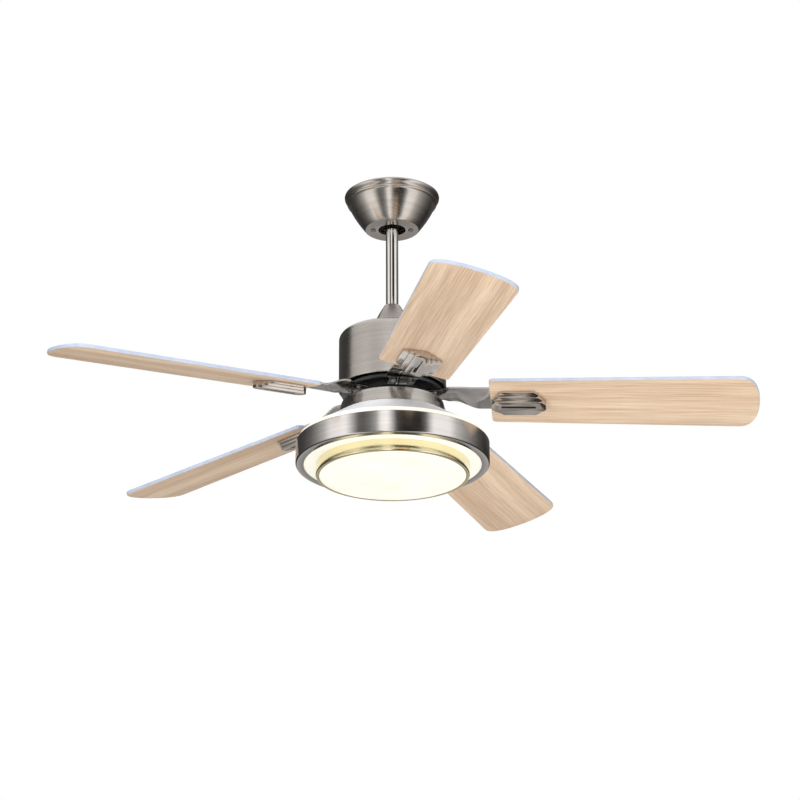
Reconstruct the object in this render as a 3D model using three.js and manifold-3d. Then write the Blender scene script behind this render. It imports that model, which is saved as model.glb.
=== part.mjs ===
// A five-blade ceiling fan with a stepped LED light, hung from a ceiling bracket by a short downrod.
// Millimetres, +Z up. The origin is on the ceiling plane, on the fan's axis, so the fan hangs into -Z.
import * as THREE from "three";
import { mergeVertices } from "three/addons/utils/BufferGeometryUtils.js";
import Module from "manifold-3d";

const wasm = await Module();
wasm.setup();

// ---- Clearances ----
const GAP = 0.3; // between pieces that touch on the real fan
const PLAY = 0.6; // between pieces that turn or slide past each other
const THROUGH = 2; // how far a cutting tool runs past the faces it cuts

// ---- Facets round a turned piece ----
const SIDES_WIDE = 32;
const SIDES_MID = 20;
const SIDES_PIN = 10;

// ---- Ceiling bracket and canopy ----
const PLATE_LENGTH = 116;
const PLATE_WIDTH = 40;
const PLATE_THICK = 2.5;
const PLATE_HOLE_R = 3;
const PLATE_HOLE_X = 48;
const LEG_X = 37;
const LEG_WIDTH = 26;
const SEAT_Z = -36;
const SEAT_WIDTH = 46;
const SEAT_HOLE_R = 15.2;
const TAB_LENGTH = 14;
const CANOPY_RIM_R = 82;
const CANOPY_RIM_HEIGHT = 5;
const CANOPY_SHOULDER_R = 77.5;
const CANOPY_SHOULDER_Z = -9;
const CANOPY_BEAD = 1.2;
const CANOPY_BEAD_Z = -13;
const CANOPY_BEAD_HALF = 2.2;
const CANOPY_WAIST_R = 65;
const CANOPY_WAIST_Z = -34;
const CANOPY_FOOT_R = 46;
const CANOPY_DEPTH = 63;
const CANOPY_HOLE_R = 23.5;
const CANOPY_WALL = 1.2;
const CANOPY_SCREW_X = 32;
const CANOPY_SCREW_R = 2;
const CANOPY_SCREW_HEAD_R = 4;
const CANOPY_SCREW_HEAD = 2;

// ---- Hanger ball and downrod ----
const BALL_R = 19;
const BALL_TOP = 11;
const ROD_R = 10.65;
const ROD_WALL = 2;
const ROD_END_Z = -246;
const ROD_ABOVE_BALL = 6;
const CROSS_PIN_R = 3;
const CROSS_PIN_HALF = 17;

// ---- Yoke that joins the rod to the motor shaft ----
const YOKE_R = 15.5;
const YOKE_TOP_Z = -224;
const YOKE_FLANGE_R = 34;
const YOKE_FLANGE_THICK = 4;
const CLEVIS_PIN_Z = -235;
const CLEVIS_PIN_R = 3;
const CLEVIS_HEAD_R = 4.6;
const CLEVIS_HEAD = 2;
const CLEVIS_PIN_TAIL = 6; // past the side of the yoke
const CLIP_WIRE_R = 0.75;
const CLIP_STAND_OFF = 2.9; // from the side of the yoke to the middle of the wire
const CLIP_HALF = 6.5;
const SET_SCREW_R = 2.6;
const SET_SCREW_Z = -229;

// ---- Coupling cover, which slides on the rod ----
const COVER_TOP_Z = -206.6;
const COVER_NECK_R = 13.5;
const COVER_FOOT_R = 37;
const COVER_WALL = 1.2;
const COVER_BULGE = 3;

// ---- Motor ----
const HOUSING_R = 90.5;
const HOUSING_TOP_Z = -262;
const HOUSING_BOTTOM_Z = -362;
const HOUSING_WALL = 1.2;
const HOUSING_CORNER = 10;
const SHAFT_R = 10;
const SHAFT_BORE_R = 5.5;
const SHAFT_END_Z = -399;
const BEARING_R = 23.5;
const BEARING_WIDTH = 14;
const BEARING_RACE = 3.2;
const BEARING_BALLS = 7;
const BEARING_TOP_Z = -274;
const BEARING_LOW_Z = -354;
const CAGE_THICK = 1.6;
const CAGE_WIDTH = 9;
const STATOR_MID_Z = -312;
const STATOR_HEIGHT = 30;
const STATOR_HUB_R = 28;
const STATOR_TOOTH_R = 58;
const STATOR_R = 63;
const STATOR_TEETH = 9;
const STATOR_TOOTH_WIDTH = 9;
const STATOR_SLOT = 6;
const COIL_THICK = 5.5;
const COIL_START_R = 31;
const COIL_END_R = 55;
const MAGNET_OVERHANG = 2;
const ROTOR_R = 78;
const ROTOR_WALL = 3;
const ROTOR_FLANGE_R = 84;
const ROTOR_JOINT_Z = -321;
const ROTOR_PLATE_R = 86;
const ROTOR_PLATE_TOP_Z = -364;
const ROTOR_PLATE_THICK = 6;
const ROTOR_DISC_Z = -276;
const ROTOR_LIP_THICK = 1.7;
const ROTOR_LIP_R = 16;

// ---- Blades and their irons ----
const BLADES = 5;
const FIRST_BLADE = THREE.MathUtils.degToRad(-6.5);
const BLADE_PITCH = THREE.MathUtils.degToRad(13.5);
const BLADE_DROOP = THREE.MathUtils.degToRad(2.8);
const BLADE_APEX_Z = -378;
const BLADE_ROOT_X = 165.5;
const BLADE_TIP_X = 611;
const BLADE_TIP_DEPTH = 36;
const BLADE_ROOT_CHORD = 120;
const BLADE_TIP_CHORD = 139;
const BLADE_THICK = 6;
const BLADE_CORNER = 7;
const IRON_THICK = 3;
const IRON_FOOT_X = 60;
const IRON_FOOT_WIDTH = 44;
const IRON_WIDTH = 60;
const IRON_BEND_X = 104;
const IRON_TWIST_X = 142;
const IRON_PAD_X = 250;
const IRON_PAD_TIP_WIDTH = 34;
const IRON_LANES = 2; // of facets across, which follow its twist
const FOOT_SCREW_X = 72;
const FOOT_SCREW_Y = 14;
const FOOT_SCREW_R = 2.4;
const FOOT_SCREW_HEAD_R = 4.6;
const FOOT_SCREW_HEAD = 2.8;

// ---- Medallion under each blade root: three steps, each [length, width, height above the blade] ----
const MEDALLION_MID_X = 213;
const MEDALLION_STEPS = [
  [68, 66, 4],
  [80, 46, 7.5],
  [91, 28, 11],
];
const MEDALLION_CORNER = 7;
const MEDALLION_SLOT_LENGTH = 58;
const MEDALLION_SLOT_WIDTH = 5;
const MEDALLION_SLOT_DEPTH = 7;

// ---- Switch housing and what it holds ----
const SWITCH_TOP_Z = -385;
const SWITCH_BOTTOM_Z = -411;
const SWITCH_TOP_R = 86.5;
const SWITCH_BOTTOM_R = 91.5;
const SWITCH_CORNER = 5;
const SWITCH_WALL = 1.2;
const NUT_R = 17;
const NUT_HEIGHT = 9;
const MODULE_INNER_X = 26;
const MODULE_OUTER_X = 76;
const DRIVER_HALF_WIDTH = 22;
const DRIVER_HEIGHT = 16;
const RECEIVER_HALF_WIDTH = 20;
const RECEIVER_HEIGHT = 18;

// ---- Light ----
const PAN_WALL = 1.2;
const PAN_HOLE_R = 14;
const PAN_EDGE_R = 155;
const PAN_EDGE_Z = -449;
const PAN_FLANGE_WIDTH = 14;
const PAN_COLLAR_HEIGHT = 6;
const PAN_COLLAR_THICK = 1.5;
const BOARD_INSET = 5; // of its edge from the edge of the pan
const BOARD_THICK = 1.6;
const DIFFUSER_OVERHANG = 2.5; // past the edge of the pan
const DIFFUSER_WALL = 2.5;
const DIFFUSER_BOTTOM_Z = -494;
const DIFFUSER_FACE_WIDTH = 30.8; // of the ring-shaped face, from its wall to its neck
const NECK_WALL = 2.2;
const NECK_END_Z = -509;
const OUTER_RING_STAND_OFF = 4.3; // outside the wall of the diffuser
const OUTER_RING_TOP_Z = -457.6;
const OUTER_RING_LIP = 9.5; // how far it reaches in below the face of the diffuser
const RING_WALL = 1;
const INNER_RING_BOTTOM_Z = -514.3;
const INNER_RING_LIP = 6;
const LENS_DROP = 4.5;

// ---- Helpers ----

// A closed geometry as a manifold-3d solid. Triangles with two equal corners, as at a pole, are left out.
function solid(geometry) {
  const bare = geometry.clone();
  bare.deleteAttribute("normal");
  bare.deleteAttribute("uv");
  const merged = mergeVertices(bare, 1e-4);
  const index = merged.index.array;
  const corners = [];
  for (let i = 0; i < index.length; i += 3) {
    const [a, b, c] = index.slice(i, i + 3);
    if (a !== b && b !== c && c !== a) corners.push(a, b, c);
  }
  const vertProperties = merged.attributes.position.array;
  const triVerts = new Uint32Array(corners);
  return new wasm.Manifold(new wasm.Mesh({ numProp: 3, vertProperties, triVerts }));
}

// A solid turned about Z from an outline of [radius, height] points, given in either direction.
function turned(outline, sides = SIDES_WIDE) {
  const points = outline.map(([r, z]) => new THREE.Vector2(r, z));
  if (THREE.ShapeUtils.area(points) < 0) points.reverse();
  points.push(points[0].clone());
  return solid(new THREE.LatheGeometry(points, sides).rotateX(Math.PI / 2));
}

// Points [radius, height] on a quarter-turn or shorter arc, from one angle to another in degrees.
function arc(r, z, radius, from, to, steps = 4) {
  return Array.from({ length: steps + 1 }, (_, i) => {
    const angle = THREE.MathUtils.degToRad(from + ((to - from) * i) / steps);
    return [r + radius * Math.cos(angle), z + radius * Math.sin(angle)];
  });
}

// The same outline moved inwards and back again, which makes a thin wall of it.
function shell(outer, inner) {
  return [...outer, ...inner.slice().reverse()];
}

function block([x0, x1], [y0, y1], [z0, z1]) {
  const geometry = new THREE.BoxGeometry(x1 - x0, y1 - y0, z1 - z0);
  return solid(geometry.translate((x0 + x1) / 2, (y0 + y1) / 2, (z0 + z1) / 2));
}

function cylinderX(radius, [x0, x1], y, z, sides = SIDES_PIN) {
  const geometry = new THREE.CylinderGeometry(radius, radius, x1 - x0, sides).rotateZ(Math.PI / 2);
  return solid(geometry.translate((x0 + x1) / 2, y, z));
}

function cylinderY(radius, x, [y0, y1], z, sides = SIDES_PIN) {
  const geometry = new THREE.CylinderGeometry(radius, radius, y1 - y0, sides);
  return solid(geometry.translate(x, (y0 + y1) / 2, z));
}

function cylinderZ(radius, x, y, [z0, z1], sides = SIDES_PIN) {
  const geometry = new THREE.CylinderGeometry(radius, radius, z1 - z0, sides).rotateX(Math.PI / 2);
  return solid(geometry.translate(x, y, (z0 + z1) / 2));
}

// A flat plate of a Shape drawn in X and Y, from z0 up to z1.
function plate(shape, [z0, z1], curveSegments = 6) {
  const options = { depth: z1 - z0, bevelEnabled: false, curveSegments };
  return solid(new THREE.ExtrudeGeometry(shape, options).translate(0, 0, z0));
}

function joined(shapes) {
  return shapes.reduce((whole, shape) => whole.add(shape));
}

function addPiece(parent, name, shape, material) {
  const data = shape.getMesh();
  const geometry = new THREE.BufferGeometry();
  geometry.setAttribute("position", new THREE.BufferAttribute(data.vertProperties, 3));
  geometry.setIndex(new THREE.BufferAttribute(data.triVerts, 1));
  geometry.computeVertexNormals();
  const mesh = new THREE.Mesh(geometry, material);
  mesh.name = name;
  parent.add(mesh);
}

function finish(color, roughness, metalness, emissive = 0x000000) {
  return new THREE.MeshStandardMaterial({ color, roughness, metalness, emissive });
}

const brushedNickel = finish(0xa89f97, 0.38, 1);
const polishedSteel = finish(0xb9b2aa, 0.15, 1);
const darkNickel = finish(0x6c645e, 0.35, 1);
const chrome = finish(0xc4c2c0, 0.08, 1);
const zincSteel = finish(0x9c9fa1, 0.45, 1);
const bearingSteel = finish(0xb4b7ba, 0.2, 1);
const laminations = finish(0x55585c, 0.6, 1);
const copper = finish(0xb56a34, 0.35, 1);
const ferrite = finish(0x2f2f31, 0.7, 0.2);
const blackEnamel = finish(0x141414, 0.4, 0.3);
const ballPlastic = finish(0x222222, 0.5, 0);
const modulePlastic = finish(0xe6e6e2, 0.5, 0);
const whiteEnamel = finish(0xd9dbe0, 0.4, 0.1);
const boardWhite = finish(0xf0f0ec, 0.5, 0);
const glowingAcrylic = finish(0xfff2cf, 0.4, 0, 0xfff0c0);
const paleOak = finish(0xe6c8a5, 0.5, 0);

// ---- Ceiling bracket, canopy and its screws ----

function hangerBracket() {
  const half = PLATE_LENGTH / 2;
  const legOut = LEG_X + PLATE_THICK;
  const tabTop = -(CANOPY_DEPTH - CANOPY_WALL - GAP - PLATE_THICK);
  const parts = [
    block([-half, half], [-PLATE_WIDTH / 2, PLATE_WIDTH / 2], [-PLATE_THICK, 0]),
    block([-legOut, legOut], [-SEAT_WIDTH / 2, SEAT_WIDTH / 2], [SEAT_Z - PLATE_THICK, SEAT_Z]),
  ];
  for (const side of [-1, 1]) {
    const legX = [side * LEG_X, side * legOut].sort((a, b) => a - b);
    const tabX = [side * (legOut - TAB_LENGTH), side * legOut].sort((a, b) => a - b);
    const legY = [-LEG_WIDTH / 2, LEG_WIDTH / 2];
    parts.push(block(legX, legY, [tabTop - PLATE_THICK, 0]));
    parts.push(block(tabX, legY, [tabTop - PLATE_THICK, tabTop]));
  }
  const seatCut = [SEAT_Z - PLATE_THICK - THROUGH, SEAT_Z + THROUGH];
  const slotHalf = ROD_R + PLAY;
  let bracket = joined(parts)
    .subtract(cylinderZ(SEAT_HOLE_R, 0, 0, seatCut, SIDES_MID))
    .subtract(block([-slotHalf, slotHalf], [-SEAT_WIDTH, 0], seatCut));
  for (const side of [-1, 1]) {
    const plateCut = [-PLATE_THICK - THROUGH, THROUGH];
    const tabCut = [tabTop - PLATE_THICK - THROUGH, tabTop + THROUGH];
    const screwHole = CANOPY_SCREW_R + GAP;
    bracket = bracket
      .subtract(cylinderZ(PLATE_HOLE_R, side * PLATE_HOLE_X, 0, plateCut))
      .subtract(cylinderZ(screwHole, side * CANOPY_SCREW_X, 0, tabCut));
  }
  return bracket;
}

function canopy() {
  const floorTop = -(CANOPY_DEPTH - CANOPY_WALL);
  const outer = [
    [CANOPY_RIM_R, 0],
    [CANOPY_RIM_R, -CANOPY_RIM_HEIGHT],
    [CANOPY_SHOULDER_R, CANOPY_SHOULDER_Z],
    [CANOPY_SHOULDER_R - 1, CANOPY_BEAD_Z + CANOPY_BEAD_HALF],
    [CANOPY_SHOULDER_R - 1 + CANOPY_BEAD, CANOPY_BEAD_Z],
    [CANOPY_SHOULDER_R - 3, CANOPY_BEAD_Z - CANOPY_BEAD_HALF],
    [CANOPY_WAIST_R, CANOPY_WAIST_Z],
    [CANOPY_FOOT_R, -CANOPY_DEPTH],
    [CANOPY_HOLE_R, -CANOPY_DEPTH],
  ];
  const inner = [
    [CANOPY_RIM_R - CANOPY_WALL, 0],
    [CANOPY_RIM_R - CANOPY_WALL, -CANOPY_RIM_HEIGHT],
    [CANOPY_SHOULDER_R - CANOPY_WALL - CANOPY_BEAD, CANOPY_SHOULDER_Z],
    [CANOPY_WAIST_R - CANOPY_WALL, CANOPY_WAIST_Z],
    [CANOPY_FOOT_R - CANOPY_WALL / 2, floorTop],
    [CANOPY_HOLE_R, floorTop],
  ];
  let bowl = turned(shell(outer, inner));
  const cut = [-CANOPY_DEPTH - THROUGH, floorTop + THROUGH];
  for (const side of [-1, 1]) {
    bowl = bowl.subtract(cylinderZ(CANOPY_SCREW_R + GAP, side * CANOPY_SCREW_X, 0, cut));
  }
  return bowl;
}

function canopyScrew(side) {
  const headTop = -CANOPY_DEPTH - GAP;
  const tip = -(CANOPY_DEPTH - CANOPY_WALL - PLATE_THICK) + THROUGH;
  const x = side * CANOPY_SCREW_X;
  const head = cylinderZ(CANOPY_SCREW_HEAD_R, x, 0, [headTop - CANOPY_SCREW_HEAD, headTop]);
  return head.add(cylinderZ(CANOPY_SCREW_R, x, 0, [headTop - 1, tip]));
}

// ---- Hanger ball, rod and pins ----

const ballZ = SEAT_Z + Math.sqrt((BALL_R + GAP) ** 2 - SEAT_HOLE_R ** 2);

function hangerBall() {
  const boreR = ROD_R + GAP;
  const low = (Math.asin(boreR / BALL_R) * 180) / Math.PI;
  const high = (Math.asin(BALL_TOP / BALL_R) * 180) / Math.PI;
  const outline = [...arc(0, ballZ, BALL_R, low - 90, high, 7), [boreR, ballZ + BALL_TOP]];
  const pinHole = cylinderX(CROSS_PIN_R + GAP, [-BALL_R - THROUGH, BALL_R + THROUGH], 0, ballZ);
  return turned(outline, SIDES_MID).subtract(pinHole);
}

function downrod() {
  const top = ballZ + ROD_ABOVE_BALL;
  const bore = ROD_R - ROD_WALL;
  const tube = turned([[bore, top], [ROD_R, top], [ROD_R, ROD_END_Z], [bore, ROD_END_Z]], SIDES_MID);
  const across = [-ROD_R - THROUGH, ROD_R + THROUGH];
  return tube
    .subtract(cylinderX(CROSS_PIN_R + GAP, across, 0, ballZ))
    .subtract(cylinderX(CLEVIS_PIN_R + GAP, across, 0, CLEVIS_PIN_Z));
}

function motorYoke() {
  const flangeTop = HOUSING_TOP_Z - HOUSING_WALL - GAP;
  const flangeBottom = flangeTop - YOKE_FLANGE_THICK;
  const seatZ = ROD_END_Z - GAP;
  const outline = [
    [ROD_R + GAP, YOKE_TOP_Z],
    [YOKE_R, YOKE_TOP_Z],
    [YOKE_R, flangeTop],
    [YOKE_FLANGE_R, flangeTop],
    [YOKE_FLANGE_R, flangeBottom],
    [SHAFT_R + GAP, flangeBottom],
    [SHAFT_R + GAP, seatZ],
    [ROD_R + GAP, seatZ],
  ];
  const across = [-YOKE_R - THROUGH, YOKE_R + THROUGH];
  return turned(outline, SIDES_MID)
    .subtract(cylinderX(CLEVIS_PIN_R + GAP, across, 0, CLEVIS_PIN_Z))
    .subtract(cylinderY(SET_SCREW_R + GAP, 0, [-YOKE_R - THROUGH, 0], SET_SCREW_Z));
}

const clipX = YOKE_R + CLIP_STAND_OFF;

function clevisPin() {
  const headX = -YOKE_R - GAP;
  const shank = cylinderX(CLEVIS_PIN_R, [headX - 1, YOKE_R + CLEVIS_PIN_TAIL], 0, CLEVIS_PIN_Z);
  const head = cylinderX(CLEVIS_HEAD_R, [headX - CLEVIS_HEAD, headX], 0, CLEVIS_PIN_Z);
  const clipHole = [CLEVIS_PIN_Z - CLEVIS_HEAD_R, CLEVIS_PIN_Z + CLEVIS_HEAD_R];
  return shank.add(head).subtract(cylinderZ(CLIP_WIRE_R + GAP, clipX, 0, clipHole, 8));
}

// A hairpin of spring wire: one leg goes through the clevis pin and the other lies round its outside.
function pinClip() {
  const bowY = CLEVIS_PIN_R + CLIP_WIRE_R + 2 * GAP;
  const route = new THREE.CatmullRomCurve3([
    new THREE.Vector3(clipX, 0, CLEVIS_PIN_Z - CLIP_HALF),
    new THREE.Vector3(clipX, 0, CLEVIS_PIN_Z),
    new THREE.Vector3(clipX, 0, CLEVIS_PIN_Z + CLIP_HALF),
    new THREE.Vector3(clipX, bowY / 2, CLEVIS_PIN_Z + CLIP_HALF + 2),
    new THREE.Vector3(clipX, bowY, CLEVIS_PIN_Z + CLIP_HALF),
    new THREE.Vector3(clipX, bowY, CLEVIS_PIN_Z),
    new THREE.Vector3(clipX, bowY, CLEVIS_PIN_Z - CLIP_HALF + 2),
  ]);
  const wire = new THREE.Shape().absarc(0, 0, CLIP_WIRE_R, 0, 2 * Math.PI);
  return solid(new THREE.ExtrudeGeometry(wire, { steps: 18, extrudePath: route, curveSegments: 3 }));
}

function setScrew() {
  return cylinderY(SET_SCREW_R, 0, [-YOKE_R - 2, -ROD_R - GAP], SET_SCREW_Z, 8);
}

function coverRadius(share) {
  const straight = COVER_NECK_R + (COVER_FOOT_R - COVER_NECK_R) * share;
  return straight + COVER_BULGE * Math.sin(Math.PI * share);
}

function couplingCover() {
  const foot = HOUSING_TOP_Z + GAP;
  const height = COVER_TOP_Z - foot;
  const shares = [0, 0.12, 0.3, 0.5, 0.75, 1];
  const outer = shares.map((share) => [coverRadius(share), COVER_TOP_Z - height * share]);
  const inner = shares.slice(1).map((share) => [
    coverRadius(share) - COVER_WALL * 1.2,
    Math.min(COVER_TOP_Z - height * share, COVER_TOP_Z - COVER_WALL),
  ]);
  const bore = ROD_R + PLAY;
  const crown = [bore, COVER_TOP_Z - COVER_WALL * 2];
  return turned(shell([[bore, COVER_TOP_Z], ...outer], [crown, ...inner]), SIDES_MID);
}

// ---- Motor: fixed shaft and stator inside a turning shell ----

function motorHousing() {
  const corner = HOUSING_R - HOUSING_CORNER;
  const cornerZ = HOUSING_TOP_Z - HOUSING_CORNER;
  const outer = [
    [YOKE_R + GAP, HOUSING_TOP_Z],
    ...arc(corner, cornerZ, HOUSING_CORNER, 90, 0),
    [HOUSING_R, HOUSING_BOTTOM_Z],
  ];
  const inner = [
    [YOKE_R + GAP, HOUSING_TOP_Z - HOUSING_WALL],
    ...arc(corner, cornerZ, HOUSING_CORNER - HOUSING_WALL, 90, 0),
    [HOUSING_R - HOUSING_WALL, HOUSING_BOTTOM_Z],
  ];
  return turned(shell(outer, inner));
}

function tube(outerR, innerR, top, bottom, sides = SIDES_MID) {
  return turned([[innerR, top], [outerR, top], [outerR, bottom], [innerR, bottom]], sides);
}

function ballCage(top) {
  const pathR = (SHAFT_R + GAP + BEARING_R) / 2;
  const ballR = (BEARING_R - SHAFT_R - GAP) / 2 - BEARING_RACE - GAP;
  const middle = top - BEARING_WIDTH / 2;
  const [halfThick, halfWidth] = [CAGE_THICK / 2, CAGE_WIDTH / 2];
  const ring = tube(pathR + halfThick, pathR - halfThick, middle + halfWidth, middle - halfWidth);
  const balls = Array.from({ length: BEARING_BALLS }, (_, i) => {
    const angle = (2 * Math.PI * i) / BEARING_BALLS;
    const ball = new THREE.SphereGeometry(ballR, 6, 4);
    return solid(ball.translate(pathR * Math.cos(angle), pathR * Math.sin(angle), middle));
  });
  return joined([ring, ...balls]);
}

function aroundStator(shape, offset = 0) {
  return Array.from({ length: STATOR_TEETH }, (_, i) =>
    shape.rotate([0, 0, (360 * (i + offset)) / STATOR_TEETH]),
  );
}

function statorCore() {
  const top = STATOR_MID_Z + STATOR_HEIGHT / 2;
  const bottom = STATOR_MID_Z - STATOR_HEIGHT / 2;
  const halfTooth = STATOR_TOOTH_WIDTH / 2;
  const tooth = block([STATOR_HUB_R - 1, STATOR_TOOTH_R + 1], [-halfTooth, halfTooth], [bottom, top]);
  const slot = block(
    [STATOR_TOOTH_R - THROUGH, STATOR_R + THROUGH],
    [-STATOR_SLOT / 2, STATOR_SLOT / 2],
    [bottom - THROUGH, top + THROUGH],
  );
  const shoes = tube(STATOR_R, STATOR_TOOTH_R, top, bottom, SIDES_WIDE);
  const openShoes = shoes.subtract(joined(aroundStator(slot, 0.5)));
  return joined([tube(STATOR_HUB_R, SHAFT_R + GAP, top, bottom), openShoes, ...aroundStator(tooth)]);
}

function statorWinding() {
  const halfTooth = STATOR_TOOTH_WIDTH / 2 + GAP;
  const halfCore = STATOR_HEIGHT / 2 + GAP;
  const coil = block(
    [COIL_START_R, COIL_END_R],
    [-halfTooth - COIL_THICK, halfTooth + COIL_THICK],
    [STATOR_MID_Z - halfCore - COIL_THICK, STATOR_MID_Z + halfCore + COIL_THICK],
  );
  const toothHole = block(
    [COIL_START_R - THROUGH, COIL_END_R + THROUGH],
    [-halfTooth, halfTooth],
    [STATOR_MID_Z - halfCore, STATOR_MID_Z + halfCore],
  );
  const coils = joined(aroundStator(coil)).subtract(joined(aroundStator(toothHole)));
  const ringTop = STATOR_MID_Z + halfCore + COIL_THICK;
  const endTurns = tube(COIL_END_R - 3, COIL_START_R + 3, ringTop, ringTop - COIL_THICK);
  return coils.add(endTurns);
}

function magnetRing() {
  const half = STATOR_HEIGHT / 2 + MAGNET_OVERHANG;
  const outerR = ROTOR_R - ROTOR_WALL - GAP;
  return tube(outerR, STATOR_R + PLAY, STATOR_MID_Z + half, STATOR_MID_Z - half, SIDES_WIDE);
}

function rotorUpperShell() {
  const hubIn = BEARING_R + GAP;
  const hubOut = hubIn + ROTOR_WALL;
  const lipTop = BEARING_TOP_Z + GAP + ROTOR_LIP_THICK;
  const lipBottom = BEARING_TOP_Z + GAP;
  const discBottom = ROTOR_DISC_Z - ROTOR_WALL;
  const bore = ROTOR_R - ROTOR_WALL;
  return turned([
    [ROTOR_LIP_R, lipTop],
    [hubOut, lipTop],
    [hubOut, ROTOR_DISC_Z],
    [ROTOR_R, ROTOR_DISC_Z],
    [ROTOR_R, ROTOR_JOINT_Z + ROTOR_WALL],
    [ROTOR_FLANGE_R, ROTOR_JOINT_Z + ROTOR_WALL],
    [ROTOR_FLANGE_R, ROTOR_JOINT_Z],
    [bore, ROTOR_JOINT_Z],
    [bore, discBottom],
    [hubOut, discBottom],
    [hubOut, BEARING_TOP_Z - BEARING_WIDTH],
    [hubIn, BEARING_TOP_Z - BEARING_WIDTH],
    [hubIn, lipBottom],
    [ROTOR_LIP_R, lipBottom],
  ]);
}

function footScrewPlaces() {
  return Array.from({ length: BLADES }, (_, i) => {
    const angle = FIRST_BLADE + (2 * Math.PI * i) / BLADES;
    return [-1, 1].map((side) =>
      new THREE.Vector2(FOOT_SCREW_X, side * FOOT_SCREW_Y).rotateAround(new THREE.Vector2(), angle),
    );
  });
}

function rotorLowerShell() {
  const hubIn = BEARING_R + GAP;
  const hubOut = hubIn + ROTOR_WALL;
  const plateBottom = ROTOR_PLATE_TOP_Z - ROTOR_PLATE_THICK;
  const lipTop = BEARING_LOW_Z - BEARING_WIDTH - GAP;
  const joint = ROTOR_JOINT_Z - GAP;
  const bore = ROTOR_R - ROTOR_WALL;
  const cup = turned([
    [bore, joint],
    [ROTOR_FLANGE_R, joint],
    [ROTOR_FLANGE_R, joint - ROTOR_WALL],
    [ROTOR_R, joint - ROTOR_WALL],
    [ROTOR_R, ROTOR_PLATE_TOP_Z],
    [ROTOR_PLATE_R, ROTOR_PLATE_TOP_Z],
    [ROTOR_PLATE_R, plateBottom],
    [ROTOR_LIP_R, plateBottom],
    [ROTOR_LIP_R, lipTop],
    [hubIn, lipTop],
    [hubIn, BEARING_LOW_Z],
    [hubOut, BEARING_LOW_Z],
    [hubOut, ROTOR_PLATE_TOP_Z],
    [bore, ROTOR_PLATE_TOP_Z],
  ]);
  const cut = [plateBottom - THROUGH, ROTOR_PLATE_TOP_Z + THROUGH];
  const holes = footScrewPlaces()
    .flat()
    .map(({ x, y }) => cylinderZ(FOOT_SCREW_R + GAP, x, y, cut, 8));
  return cup.subtract(joined(holes));
}

const footTopZ = ROTOR_PLATE_TOP_Z - ROTOR_PLATE_THICK - GAP;

function footScrew({ x, y }) {
  const headTop = footTopZ - IRON_THICK - GAP;
  const head = cylinderZ(FOOT_SCREW_HEAD_R, x, y, [headTop - FOOT_SCREW_HEAD, headTop]);
  return head.add(cylinderZ(FOOT_SCREW_R, x, y, [headTop - 1, ROTOR_PLATE_TOP_Z + THROUGH], 8));
}

// ---- Blade, medallion and iron, in the frame of one blade: X outwards, Y along the chord, Z up ----

// The turn from a blade's own frame, pitched and drooping, to the level frame of its azimuth.
const bladeTurn = new THREE.Matrix4().makeRotationFromEuler(
  new THREE.Euler(-BLADE_PITCH, BLADE_DROOP, 0, "ZYX"),
);

function bladeOutline() {
  const sideEnd = BLADE_TIP_X - BLADE_TIP_DEPTH;
  const rootHalf = BLADE_ROOT_CHORD / 2;
  const tipHalf = BLADE_TIP_CHORD / 2;
  const shape = new THREE.Shape();
  shape.moveTo(BLADE_ROOT_X + BLADE_CORNER, -rootHalf);
  // The tip is a squarish ellipse: nearly straight across the middle, round at both corners.
  const steps = 20;
  for (let i = 0; i <= steps; i += 1) {
    const angle = (Math.PI * i) / steps - Math.PI / 2;
    const y = tipHalf * Math.sin(angle);
    const reach = BLADE_TIP_DEPTH * Math.cos(angle) ** 0.72;
    shape.lineTo(sideEnd + (i % steps ? reach : 0), y);
  }
  shape.lineTo(BLADE_ROOT_X + BLADE_CORNER, rootHalf);
  shape.quadraticCurveTo(BLADE_ROOT_X, rootHalf, BLADE_ROOT_X, rootHalf - BLADE_CORNER);
  shape.lineTo(BLADE_ROOT_X, BLADE_CORNER - rootHalf);
  shape.quadraticCurveTo(BLADE_ROOT_X, -rootHalf, BLADE_ROOT_X + BLADE_CORNER, -rootHalf);
  return shape;
}

function blade() {
  return plate(bladeOutline(), [-BLADE_THICK / 2, BLADE_THICK / 2], 3);
}

// A rectangle about the medallion's centre with its four corners cut off.
function cutCorners(length, width, corner) {
  const [x, y] = [length / 2, width / 2];
  const cut = Math.min(corner, y - 1);
  const outline = [
    [x, -y + cut],
    [x, y - cut],
    [x - cut, y],
    [cut - x, y],
    [-x, y - cut],
    [-x, cut - y],
    [cut - x, -y],
    [x - cut, -y],
  ];
  return new THREE.Shape(outline.map(([px, py]) => new THREE.Vector2(px + MEDALLION_MID_X, py)));
}

function medallion() {
  const face = -BLADE_THICK / 2 - GAP;
  const steps = MEDALLION_STEPS.map(([length, width, height]) =>
    plate(cutCorners(length, width, MEDALLION_CORNER), [face - height, face]),
  );
  const lowest = face - MEDALLION_STEPS.at(-1)[2];
  const half = (MEDALLION_SLOT_LENGTH - MEDALLION_SLOT_WIDTH) / 2;
  const slot = new THREE.Shape()
    .absarc(MEDALLION_MID_X + half, 0, MEDALLION_SLOT_WIDTH / 2, -Math.PI / 2, Math.PI / 2)
    .absarc(MEDALLION_MID_X - half, 0, MEDALLION_SLOT_WIDTH / 2, Math.PI / 2, (3 * Math.PI) / 2);
  return joined(steps).subtract(plate(slot, [lowest - THROUGH, lowest + MEDALLION_SLOT_DEPTH], 4));
}

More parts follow.
